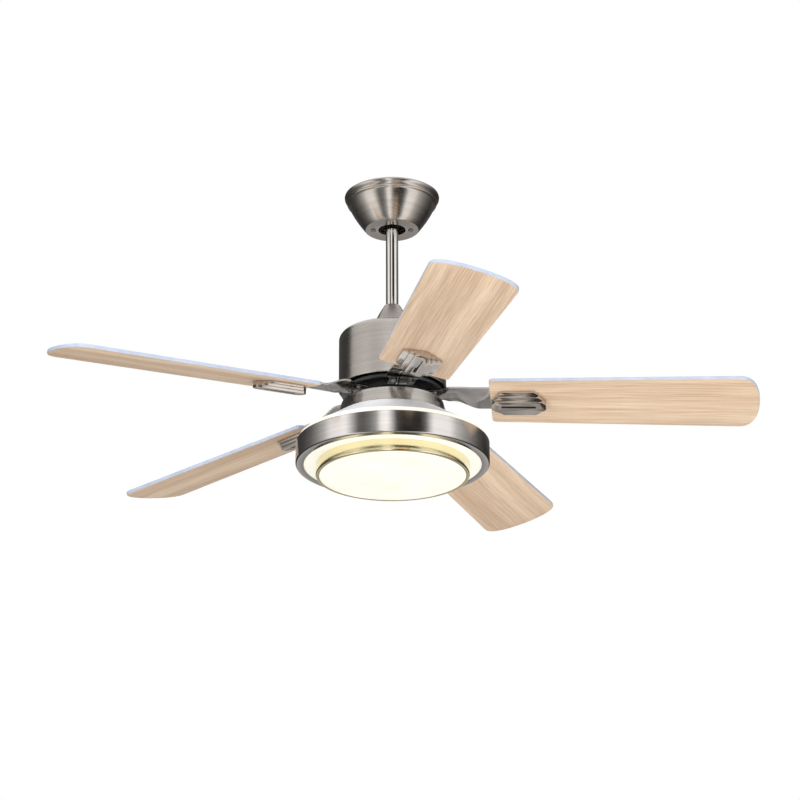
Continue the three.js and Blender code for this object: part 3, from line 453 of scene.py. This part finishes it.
# ---- Blade irons and their screws ----
# Each iron is a flat chromed bar screwed under the rotor plate, bent and twisted up to the blade's pitch.
# Bright chrome plate. Two screws hold each foot to the plate.
chrome = material("Chrome", CAST, (0.44, 0.425, 0.405), (0.56, 0.545, 0.53), (0.05, 0.11), 0.01)
PITCH = math.radians(-13.5)
DROOP = math.radians(2.8)
AZIMUTHS = [math.radians(a) for a in (-6.5, 65.5, 137.5, 209.5, -78.5)]
BLADE_Z = -378.0
FOOT_Z = -371.8
IRON_THICK = 3.0
IRON_ABOVE_BLADE = 4.8


def rotate_selected(angle, axis, centre):
    """Turns what is selected in edit mode. Without a window the operator turns the other way round."""
    bpy.ops.transform.rotate(value=-angle, orient_axis=axis, center_override=centre)


def on_blade(x, height):
    """A point on the blade's middle line, from its own frame to the frame of its azimuth."""
    up = height * math.cos(PITCH)
    across = -height * math.sin(PITCH)
    return (
        x * math.cos(DROOP) + up * math.sin(DROOP),
        across,
        BLADE_Z + up * math.cos(DROOP) - x * math.sin(DROOP),
    )


def iron_stations():
    """Centre, share of the full pitch and width at each slice along the bar, in millimetres."""
    level = [(60, 44), (84, 44), (88, 50), (93, 58), (97, 60), (101, 60)]
    pitched = [(200, 60), (228, 60), (240, 50), (247, 40), (250, 32)]
    stations = [((x, 0, FOOT_Z), 0.0, width) for x, width in level]
    start, end = (101, 0, FOOT_Z), on_blade(148, IRON_ABOVE_BLADE)
    for i in range(1, 13):
        share = i / 12
        eased = share * share * (3 - 2 * share)
        shares = (share, eased, eased)
        centre = tuple(a + (b - a) * part for a, b, part in zip(start, end, shares))
        stations.append((centre, eased, 60))
    stations += [(on_blade(x, IRON_ABOVE_BLADE), 1.0, width) for x, width in pitched]
    return stations


bpy.ops.object.select_all(action="DESELECT")
bpy.ops.mesh.primitive_plane_add(size=1, location=(0, 0, 0), rotation=(0, math.pi / 2, 0))
iron = bpy.context.object
bpy.ops.object.transform_apply(location=True, rotation=True, scale=False)
stations = iron_stations()
first = stations[0]
bpy.ops.object.mode_set(mode="EDIT")
bpy.ops.mesh.select_all(action="SELECT")
bpy.ops.transform.resize(value=(1, first[2] * MM, IRON_THICK * MM), center_override=(0, 0, 0))
bpy.ops.transform.translate(value=tuple(c * MM for c in first[0]))
# Each new slice is turned back to the level, made as wide as it should be, and turned to its own pitch.
for (old, old_share, old_width), (new, share, width) in zip(stations, stations[1:]):
    step = tuple((b - a) * MM for a, b in zip(old, new))
    centre = tuple(c * MM for c in new)
    bpy.ops.mesh.extrude_region_move(TRANSFORM_OT_translate={"value": step})
    rotate_selected(-DROOP * old_share, "Y", centre)
    rotate_selected(-PITCH * old_share, "X", centre)
    bpy.ops.transform.resize(value=(1, width / old_width, 1), center_override=centre)
    rotate_selected(PITCH * share, "X", centre)
    rotate_selected(DROOP * share, "Y", centre)
bpy.ops.mesh.select_all(action="SELECT")
bpy.ops.mesh.normals_make_consistent(inside=False)
bpy.ops.object.mode_set(mode="OBJECT")
soften(iron, 0.5, 40)

FOOT_SCREW_X = 72.0
FOOT_SCREW_Y = 14.0
foot_screw_outline = [
    (0, -362.5),
    (2.4, -362.5),
    (2.4, -373.6),
    (4.6, -373.6),
    (4.5, -375.0),
    (3.4, -376.1),
    (1.7, -376.4),
    (1.3, -375.2),
    (0, -375.2),
]
foot_screw = turned("foot_screw_pattern", foot_screw_outline, sides=20, soft=0.15)
for number, azimuth in enumerate(AZIMUTHS, 1):
    turn = (0, 0, azimuth)
    made = copied(iron, f"iron_bar_{number}", turn)
    fit(made, "rotor", "chrome", [chrome], f"blade_iron_{number}")
    for side, letter in ((-1, "a"), (1, "b")):
        name = f"foot_screw_{number}_{letter}"
        made = copied(foot_screw, name, turn, FOOT_SCREW_X, side * FOOT_SCREW_Y)
        fit(made, "rotor", "zinc_steel", [zinc], f"iron_screw_{number}_{letter}")
for pattern in (iron, foot_screw):
    bpy.data.objects.remove(pattern)


# ---- Blades, their screws and medallions ----
# Five flat boards of fibreboard with an oak-print skin along their length and a pale band round the edge.
# Three screws hold each blade up to its iron from above, and a stepped nickel plate covers the root below.


def oak_grain():
    """Long pale and tan streaks with short dark pores, along the blade's own U and across its V."""
    group = bpy.data.node_groups.new("OakGrain", "ShaderNodeTree")
    place = add_node(group, "ShaderNodeUVMap", uv_map="Board").outputs["UV"]
    drift = remap(group, noise(group, place, 3.5, 2.0), -0.003, 0.003)
    shift = add_node(group, "ShaderNodeCombineXYZ", {"Y": drift}).outputs[0]
    bent = vector_math(group, "ADD", place, shift)
    layers = []
    for along, across, detail in ((1.2, 26.0, 2.0), (8.0, 420.0, 3.0), (36.0, 1150.0, 2.0)):
        stretched = vector_math(group, "MULTIPLY", bent, (along, across, 1.0))
        layers.append(noise(group, stretched, 1.0, detail))
    bands, streaks, pores = layers
    weighted = number_math(group, "MULTIPLY", streaks, 1.1)
    smooth = remap(group, number_math(group, "ADD", bands, weighted), 0.0, 1.0, 0.78, 1.32)
    pits = remap(group, pores, 0.0, 0.5, 0.6, 0.74)
    shade = number_math(group, "SUBTRACT", smooth, pits, use_clamp=True)
    dip = number_math(group, "SUBTRACT", 1.0, pits)
    return finished(group, Shade=shade, Roughness=streaks, Height=dip)


oak = material("PaleOak", oak_grain(), (0.56, 0.38, 0.25), (0.84, 0.65, 0.465), (0.42, 0.55), 0.12, 0.0)
edge_band = material("EdgeBand", CAST, (0.42, 0.48, 0.60), (0.50, 0.56, 0.68), (0.35, 0.45), 0.02, 0.0)
ROOT_X = 165.5
ROOT_CORNER = 7
SIDE_END_X = 575.0
TIP_DEPTH = 36.0
HALF_ROOT = 60.0
HALF_TIP = 69.5
HALF_THICK = 3.0


def blade_outline():
    """Small round corners at the root, sides that spread a little, and a squarish elliptical tip."""
    x, y = ROOT_X + ROOT_CORNER, ROOT_CORNER - HALF_ROOT
    turns = [math.radians(a) for a in (90, 67.5, 45, 22.5, 0)]
    corner = [(x - ROOT_CORNER * math.sin(a), y - ROOT_CORNER * math.cos(a)) for a in turns]
    tip = []
    for i in range(37):
        angle = math.pi * i / 36 - math.pi / 2
        reach = TIP_DEPTH * max(math.cos(angle), 0.0) ** 0.72
        tip.append((SIDE_END_X + reach, HALF_TIP * math.sin(angle)))
    return corner + tip + [(x, -y) for x, y in reversed(corner)]


def board(name, outline, top, bottom):
    """A flat board with the given outline, in millimetres, between two heights."""
    bpy.ops.object.select_all(action="DESELECT")
    bpy.ops.mesh.primitive_plane_add(size=1, location=(0, 0, 0))
    obj = bpy.context.object
    obj.name = obj.data.name = name
    bpy.ops.object.mode_set(mode="EDIT")
    bpy.ops.mesh.select_all(action="SELECT")
    bpy.ops.mesh.merge(type="CENTER")
    bpy.ops.transform.translate(value=(outline[0][0] * MM, outline[0][1] * MM, bottom * MM))
    for (x0, y0), (x1, y1) in zip(outline, outline[1:] + outline[:1]):
        step = ((x1 - x0) * MM, (y1 - y0) * MM, 0)
        bpy.ops.mesh.extrude_vertices_move(TRANSFORM_OT_translate={"value": step})
    bpy.ops.mesh.select_all(action="SELECT")
    bpy.ops.mesh.remove_doubles(threshold=2e-6)
    bpy.ops.mesh.edge_face_add()
    bpy.ops.mesh.extrude_region_move(TRANSFORM_OT_translate={"value": (0, 0, (top - bottom) * MM)})
    bpy.ops.mesh.select_all(action="SELECT")
    bpy.ops.mesh.normals_make_consistent(inside=False)
    bpy.ops.object.mode_set(mode="OBJECT")
    return obj


def flat_map(obj):
    """A texture map called Board, in metres, laid square on to each of the piece's sides."""
    bpy.ops.object.mode_set(mode="EDIT")
    bpy.ops.mesh.select_all(action="SELECT")
    bpy.ops.uv.cube_project(cube_size=1)
    bpy.ops.object.mode_set(mode="OBJECT")
    obj.data.uv_layers.active.name = "Board"


blade = board("blade_pattern", blade_outline(), HALF_THICK, -HALF_THICK)
soften(blade, 0.9, 40, 3)
flat_map(blade)
blade.data.materials.append(oak)
blade.data.materials.append(edge_band)
# The narrow sides take the edge band, and the flat faces keep the oak print.
for face in blade.data.polygons:
    face.material_index = 1 if abs(face.normal.z) < 0.75 else 0

MEDALLION_X = 213.0
MEDALLION_TOP = -3.3
MEDALLION_CUT = 7.0
SLOT_LENGTH = 58.0
SLOT_WIDTH = 5.0
SLOT_FLOOR = -7.3


def cut_corners(length, width):
    """A rectangle round the medallion's middle with its corners cut off."""
    x, y, cut = length / 2, width / 2, MEDALLION_CUT
    right = [(x, cut - y), (x, y - cut), (x - cut, y)]
    left = [(cut - x, y), (-x, y - cut), (-x, cut - y)]
    corners = [*right, *left, (cut - x, -y), (x - cut, -y)]
    return [(MEDALLION_X + px, py) for px, py in corners]


def slot_outline():
    """A long slot with half-round ends, round the medallion's middle."""
    radius = SLOT_WIDTH / 2
    reach = SLOT_LENGTH / 2 - radius
    turns = [math.radians(a) for a in (-90, -45, 0, 45, 90)]
    outer = [(MEDALLION_X + reach + radius * math.cos(a), radius * math.sin(a)) for a in turns]
    inner = [(MEDALLION_X - reach - radius * math.cos(a), -radius * math.sin(a)) for a in turns]
    return outer + inner


def cut_from(obj, tool):
    """Takes a tool's shape out of a piece and drops the tool."""
    pick(obj)
    bpy.ops.object.modifier_add(type="BOOLEAN")
    obj.modifiers[-1].operation = "DIFFERENCE"
    obj.modifiers[-1].object = tool
    obj.modifiers[-1].material_mode = "TRANSFER"
    bpy.ops.object.modifier_apply(modifier=obj.modifiers[-1].name)
    bpy.data.objects.remove(tool)


def long_brush():
    """Fine straight scratches along the plate, and slow changes in how rough it is."""
    group = bpy.data.node_groups.new("LongBrush", "ShaderNodeTree")
    place = add_node(group, "ShaderNodeUVMap", uv_map="Board").outputs["UV"]
    fine = noise(group, vector_math(group, "MULTIPLY", place, (25.0, 1500.0, 1.0)), 1.0, 3.0)
    smudge = noise(group, place, 40.0, 3.0)
    tone = remap(group, fine, 0.0, 1.0)
    wear = remap(group, number_math(group, "ADD", fine, smudge), 0.0, 1.0, 0.7, 1.3)
    return finished(group, Shade=tone, Roughness=wear, Height=fine)


medal_dark, medal_light = (0.54, 0.495, 0.45), (0.68, 0.63, 0.58)
plate_nickel = material("MedallionNickel", long_brush(), medal_dark, medal_light, (0.12, 0.2), 0.03)
# Painted shade: the slot's walls and floor, cut by the tool, take this near-black colour for the shadow
# inside the recess.
recess_painted_shade = material("RecessPaintedShade", CAST, (0.01, 0.01, 0.01), (0.03, 0.028, 0.026), (0.6, 0.8), 0.05, 0.0)
tiers = []
for index, (length, width, height) in enumerate([(68, 66, 4.0), (80, 46, 7.5), (91, 28, 11.0)]):
    tier = board(f"tier_{index}", cut_corners(length, width), MEDALLION_TOP, MEDALLION_TOP - height)
    tier.data.materials.append(plate_nickel)
    tiers.append(tier)
slot_tool = board("slot_tool", slot_outline(), SLOT_FLOOR, SLOT_FLOOR - 12.7)
slot_tool.data.materials.append(recess_painted_shade)
cut_from(tiers[2], slot_tool)
for tier in tiers:
    pick(tier)
    soften(tier, 0.45, 30)
for tier in tiers:
    tier.select_set(True)
bpy.context.view_layer.objects.active = tiers[0]
bpy.ops.object.join()
medallion = bpy.context.object
flat_map(medallion)

blade_screw_outline = [
    (0, -2.0),
    (2.2, -2.0),
    (2.2, 6.6),
    (4.4, 6.6),
    (4.3, 7.8),
    (3.2, 8.7),
    (1.4, 9.0),
    (1.1, 8.0),
    (0, 8.0),
]
blade_screw = turned("blade_screw_pattern", blade_screw_outline, sides=20, soft=0.15)
blade_screw_places = (("a", 190, -19), ("b", 190, 19), ("c", 236, 0))
for number, azimuth in enumerate(AZIMUTHS, 1):
    turn = (PITCH, DROOP, azimuth)
    made = copied(blade, f"blade_board_{number}", turn, height=BLADE_Z)
    # Each board shows its own stretch of the oak pattern.
    for corner in made.data.uv_layers["Board"].data:
        corner.uv = (corner.uv[0] + 0.83 * number, corner.uv[1] + 0.37 * number)
    fit(made, "rotor", "pale_oak", [], f"blade_{number}")
    made = copied(medallion, f"medallion_plate_{number}", turn, height=BLADE_Z)
    fit(made, "rotor", "brushed_nickel", [], f"medallion_{number}")
    for letter, x, y in blade_screw_places:
        made = copied(blade_screw, f"blade_screw_{number}_{letter}", turn, x, y, BLADE_Z)
        fit(made, "rotor", "zinc_steel", [zinc])
for pattern in (blade, medallion, blade_screw):
    bpy.data.objects.remove(pattern)


# ---- Switch housing and the shaft nut ----
# The cup under the rotor that the light hangs from, held up by a nut on the hollow shaft.
# Brushed nickel outside, a plain zinc nut inside.
switch_outline = [
    (10.3, -385.0),
    (60.0, -385.0),
    *arc(81.5, -390.0, 5.0, 90, 3, 6),
    (91.2, -409.4),
    (91.5, -411.0),
    (90.3, -411.0),
    *arc(81.5, -390.0, 3.8, 3, 90, 6),
    (10.3, -386.2),
]
switch_cup = turned("switch_housing_cup", switch_outline, sides=128, soft=0.25)
fit(switch_cup, "hanging_body", "brushed_nickel", [nickel], "switch_housing")
keep_cad("shaft_nut", zinc)


# ---- LED driver and remote receiver ----
# Two plastic boxes that stand on the pan's floor inside the switch housing.
# Off-white moulded plastic.
module = material("ModulePlastic", CAST, (0.62, 0.62, 0.59), (0.74, 0.74, 0.71), (0.4, 0.55), 0.06, 0.0)
keep_cad("led_driver", module)
keep_cad("remote_receiver", module)


# ---- Light pan and LED board ----
# A pressed white cone that carries the board and the diffuser. White stove enamel on steel.
# The board is a white-faced aluminium ring with its diodes below.
white = material("WhiteEnamel", CAST, (0.88, 0.89, 0.93), (0.92, 0.93, 0.96), (0.3, 0.42), 0.04, 0.0)
pan_outline = [
    (14.0, -411.3),
    (83.2, -411.3),
    (83.2, -405.3),
    (84.7, -405.3),
    (84.7, -411.3),
    (91.5, -411.3),
    *bowed((94.0, -412.2), (124.0, -431.2), (153.6, -448.2), 8),
    (155.0, -449.2),
    (155.0, -450.2),
    (141.0, -450.2),
    (141.0, -449.0),
    (152.4, -449.0),
    *bowed((151.0, -448.2), (121.0, -430.6), (91.0, -412.5), 8),
    (14.0, -412.5),
]
pan = turned("light_pan_cone", pan_outline, sides=160, soft=0.25)
fit(pan, "hanging_body", "white_enamel", [white], "light_pan")
board_white = material("BoardWhite", CAST, (0.72, 0.72, 0.69), (0.82, 0.82, 0.79), (0.4, 0.5), 0.03, 0.0)
keep_cad("led_board", board_white)


# ---- Main diffuser ----
# A moulded cup of frosted acrylic below the board. It glows in the slit above the outer ring and in its
# flat ring-shaped face, a little unevenly, as the diodes behind it do.


def lit_acrylic():
    """The uneven glow of frosted acrylic over a ring of diodes."""
    group = bpy.data.node_groups.new("LitAcrylic", "ShaderNodeTree")
    place = add_node(group, "ShaderNodeTexCoord").outputs["Object"]
    cloud = noise(group, place, 14.0, 2.0)
    frost = noise(group, place, 1400.0, 2.0)
    return finished(group, Glow=remap(group, cloud, 0.0, 1.0), Roughness=cloud, Height=frost)


LIT = lit_acrylic()


def acrylic(name, dim, bright, strength):
    """Frosted acrylic, lit from behind, whose glow wanders between two colours."""
    made = bpy.data.materials.new(name)
    made.use_nodes = True
    tree = made.node_tree
    shader = tree.nodes["Principled BSDF"]
    effect = add_node(tree, "ShaderNodeGroup", node_tree=LIT)
    glow = mixed(tree, effect.outputs["Glow"], (*dim, 1.0), (*bright, 1.0))
    tree.links.new(glow, shader.inputs["Emission Color"])
    skin = mixed(tree, effect.outputs["Glow"], (0.42, 0.41, 0.37, 1.0), (0.48, 0.47, 0.43, 1.0))
    tree.links.new(skin, shader.inputs["Base Color"])
    rough = remap(tree, effect.outputs["Roughness"], 0.35, 0.5)
    tree.links.new(rough, shader.inputs["Roughness"])
    links = {"Height": effect.outputs["Height"], "Strength": 0.05, "Distance": 0.0003}
    tree.links.new(add_node(tree, "ShaderNodeBump", links).outputs[0], shader.inputs["Normal"])
    shader.inputs["Emission Strength"].default_value = strength
    return made


warm_face = acrylic("WarmAcrylic", (0.60, 0.575, 0.48), (0.64, 0.615, 0.53), 1.0)
diffuser_outline = [
    (150.3, -450.5),
    (157.5, -450.5),
    (157.5, -494.0),
    (126.7, -494.0),
    (126.7, -509.0),
    (124.5, -509.0),
    (124.5, -491.5),
    (155.0, -491.5),
    (155.0, -452.1),
    (150.3, -452.1),
]
diffuser = turned("main_diffuser_cup", diffuser_outline, sides=160, soft=0.6)
fit(diffuser, "hanging_body", "glowing_acrylic", [warm_face], "main_diffuser")


# ---- Trim rings ----
# Two spun rings with a turned-in lip each. They hold the edges of the diffusers.
# Brushed nickel, brighter than the housing's. The inner one's yellow is a painted reflection of the warm
# glow of the diffusers round it.
ring_dark, ring_light = (0.60, 0.58, 0.565), (0.70, 0.68, 0.67)
ring_nickel = material(
    "RingNickel", BRUSH, ring_dark, ring_light, (0.12, 0.2), 0.008, lean=0.26, **nickel_look
)
# Painted reflection: the warm glow round the inner ring is put into its metal colour as a yellow tint.
glow_tint_dark, glow_tint_light = (0.86, 0.76, 0.46), (0.94, 0.86, 0.58)
ring_painted_glow = material("GlowTintRingNickel", BRUSH, glow_tint_dark, glow_tint_light, (0.1, 0.16), 0.008, **nickel_look)
outer_outline = [
    (158.1, -457.6),
    *arc(160.8, -458.6, 1.0, 90, 0, 4),
    (161.8, -491.6),
    *arc(158.8, -492.3, 3.0, 0, -90, 6),
    (148.0, -495.3),
    (148.0, -494.3),
    (158.1, -494.3),
    (160.8, -492.3),
    (160.8, -458.6),
    (158.1, -458.6),
]
outer_ring = turned("outer_ring_band", outer_outline, sides=192, soft=0.2)
fit(outer_ring, "hanging_body", "brushed_nickel", [ring_nickel], "outer_trim_ring")
inner_outline = [
    (127.0, -494.3),
    (128.0, -494.3),
    (128.0, -512.6),
    *arc(126.4, -512.7, 1.6, 0, -90, 5),
    (122.0, -514.3),
    (122.0, -513.3),
    (127.0, -513.3),
]
inner_ring = turned("inner_ring_band", inner_outline, sides=192, soft=0.2)
fit(inner_ring, "hanging_body", "brushed_nickel", [ring_painted_glow], "inner_trim_ring")


# ---- Centre diffuser ----
# A shallow dome of the same frosted acrylic, a little whiter than the ring-shaped face round it.
# Its flange rests on the inner ring's lip.
warm_disc = acrylic("WarmDisc", (0.60, 0.585, 0.50), (0.64, 0.62, 0.545), 1.0)
dome_outline = [
    (0, -509.3),
    (126.7, -509.3),
    (126.7, -513.0),
    (121.4, -513.0),
    (120.8, -514.3),
    *bowed((119.0, -515.0), (70.0, -518.8), (0, -518.8), 10),
]
dome = turned("centre_diffuser_dome", dome_outline, sides=160, soft=0.3)
fit(dome, "hanging_body", "glowing_acrylic", [warm_disc], "centre_diffuser")


# ---- Studio: floor, screen, lamps, world and camera ----
# A pale floor far below, a white surround and soft lamps. A round screen with light and dark upright
# bands, which only shiny surfaces see, gives the metal its stripes. A dark disc stands for the ceiling.
scene = bpy.context.scene
scene.view_settings.view_transform = "Standard"
FLOOR_Z = -2.7

paint = bpy.data.materials.new("FloorPaint")
paint.use_nodes = True
coat = paint.node_tree.nodes["Principled BSDF"].inputs
coat["Base Color"].default_value = (0.86, 0.86, 0.86, 1.0)
coat["Roughness"].default_value = 0.8
coat["Emission Color"].default_value = (1.0, 1.0, 1.0, 1.0)
# The floor's own glow only shows to the camera, and keeps the floor pale without lighting the fan.
direct = add_node(paint.node_tree, "ShaderNodeLightPath").outputs["Is Camera Ray"]
lift = remap(paint.node_tree, direct, 0.0, 0.42, 0.0, 1.0)
paint.node_tree.links.new(lift, coat["Emission Strength"])
bpy.ops.object.select_all(action="DESELECT")
bpy.ops.mesh.primitive_plane_add(size=30, location=(0, 0, FLOOR_Z))
floor = bpy.context.object
floor.name = "Floor"
floor.data.materials.append(paint)


SCREEN_RADIUS = 2.9
SCREEN_STRENGTH = 1.5


def banded(tree, share, bands):
    """A colour that follows bands of (degrees round from the camera's side, rightwards, and level)."""
    ramp = add_node(tree, "ShaderNodeValToRGB", {"Fac": share})
    while len(ramp.color_ramp.elements) < len(bands):
        ramp.color_ramp.elements.new(0.5)
    for stop, (angle, level) in zip(ramp.color_ramp.elements, bands):
        stop.position = (angle + 180) / 360
        tint = level / SCREEN_STRENGTH
        stop.color = (tint, tint * 0.98, tint * 0.955, 1.0)
    return ramp.outputs["Color"]


low_bands = [
    (-180, 0.30),
    (-168, 0.60),
    (-158, 0.05),
    (-140, 0.04),
    (-121, 0.08),
    (-106, 0.16),
    (-94, 0.34),
    (-83, 0.65),
    (-74, 1.15),
    (-54, 1.35),
    (-45, 0.55),
    (-39, 0.14),
    (-32, 0.13),
    (-25, 0.24),
    (-18, 0.50),
    (-13, 1.35),
    (-6, 1.50),
    (-1, 0.70),
    (4, 0.08),
    (12, 0.02),
    (31, 0.02),
    (37, 0.15),
    (46, 1.30),
    (66, 1.25),
    (76, 0.70),
    (88, 0.42),
    (100, 0.22),
    (114, 0.10),
    (130, 0.04),
    (158, 0.05),
    (168, 0.60),
    (180, 0.30),
]
high_bands = [
    (-180, 0.1),
    (-118, 0.05),
    (-104, 0.06),
    (-96, 0.65),
    (-60, 0.72),
    (0, 0.85),
    (70, 0.8),
    (120, 0.1),
    (180, 0.1),
]
screen = bpy.data.materials.new("ReflectionScreen")
screen.use_nodes = True
tree = screen.node_tree
tree.nodes.remove(tree.nodes["Principled BSDF"])
place = add_node(tree, "ShaderNodeTexCoord").outputs["Object"]
axes = add_node(tree, "ShaderNodeSeparateXYZ", {0: place}).outputs
front = number_math(tree, "MULTIPLY", axes["Y"], -1.0)
bearing = number_math(tree, "ARCTAN2", axes["X"], front)
share = remap(tree, bearing, 0.0, 1.0, -math.pi, math.pi)
height = remap(tree, axes["Z"], 0.0, 1.0, 0.3, 0.45)
bands = mixed(tree, height, banded(tree, share, low_bands), banded(tree, share, high_bands))
glow = add_node(tree, "ShaderNodeEmission", {"Color": bands, "Strength": SCREEN_STRENGTH})
tree.links.new(glow.outputs[0], tree.nodes["Material Output"].inputs["Surface"])
bpy.ops.object.select_all(action="DESELECT")
bpy.ops.mesh.primitive_cylinder_add(
    vertices=96, radius=SCREEN_RADIUS, depth=5.0, end_fill_type="NOTHING", location=(0, 0, -0.15)
)
wall = bpy.context.object
wall.name = "ReflectionWall"
wall.data.materials.append(screen)
bpy.ops.mesh.primitive_circle_add(
    vertices=96, radius=SCREEN_RADIUS, fill_type="NGON", location=(0, 0, FLOOR_Z + 0.06)
)
sheet = bpy.context.object
sheet.name = "ReflectionFloor"
sheet.data.materials.append(screen)
bpy.ops.mesh.primitive_circle_add(vertices=48, radius=0.078, fill_type="NGON", location=(0, 0, 0.004))
patch = bpy.context.object
patch.name = "CeilingPatch"
dark = bpy.data.materials.new("CeilingShade")
dark.use_nodes = True
dark.node_tree.nodes["Principled BSDF"].inputs["Base Color"].default_value = (0.03, 0.03, 0.03, 1.0)
patch.data.materials.append(dark)
for card in (wall, sheet, patch):
    for ray in ("camera", "diffuse", "transmission", "shadow", "volume_scatter"):
        setattr(card, f"visible_{ray}", False)
# The disc also keeps the surround's light out of the canopy, as a ceiling does.
patch.visible_diffuse = True


def lamp(name, place, aim, size, power, colour=(1.0, 1.0, 1.0)):
    """A square soft light at one point, aimed at another, that shiny surfaces don't mirror."""
    data = bpy.data.lights.new(name, "AREA")
    data.shape = "SQUARE"
    data.size = size
    data.energy = power
    data.color = colour
    obj = bpy.data.objects.new(name, data)
    scene.collection.objects.link(obj)
    obj.location = place
    direction = Vector(aim) - Vector(place)
    obj.rotation_euler = direction.to_track_quat("-Z", "Y").to_euler()
    obj.visible_glossy = False


lamp("KeyLamp", (-2.4, -3.4, -0.6), (0, 0, -0.35), 2.0, 70.0, (1.0, 0.985, 0.96))
lamp("FillLamp", (3.2, -2.2, -1.6), (0, 0, -0.4), 2.4, 45.0)
lamp("UnderLamp", (0.4, -1.2, -2.5), (0, 0, -0.4), 2.4, 24.0, (1.0, 0.98, 0.95))
lamp("TopLamp", (-0.6, -2.0, 1.9), (0, 0, -0.4), 2.4, 45.0)

world = bpy.data.worlds.new("Surround")
scene.world = world
world.use_nodes = True
# The world isn't sampled as a lamp, or its light would reach shiny surfaces past the screen.
world.cycles.sampling_method = "NONE"
sky = world.node_tree
background = sky.nodes["Background"]
background.inputs["Color"].default_value = (1.0, 1.0, 1.0, 1.0)
# The surround is white where it is seen, mirrored or looked through, and softer where it lights the fan.
rays = add_node(sky, "ShaderNodeLightPath").outputs
seen = number_math(sky, "MAXIMUM", rays["Is Camera Ray"], rays["Is Glossy Ray"])
seen = number_math(sky, "MAXIMUM", seen, rays["Is Transmission Ray"])
sky.links.new(remap(sky, seen, 0.62, 1.0, 0.0, 1.0), background.inputs["Strength"])

view = bpy.data.cameras.new("Camera")
view.sensor_width = 36.0
view.lens = 110.64
view.shift_x = 0.03
view.shift_y = -0.03
camera = bpy.data.objects.new("Camera", view)
scene.collection.objects.link(camera)
camera.location = (-0.0277, -3.853, -1.8804)
camera.rotation_euler = (math.radians(90 + 21.86), 0.0, 0.0)
scene.camera = camera
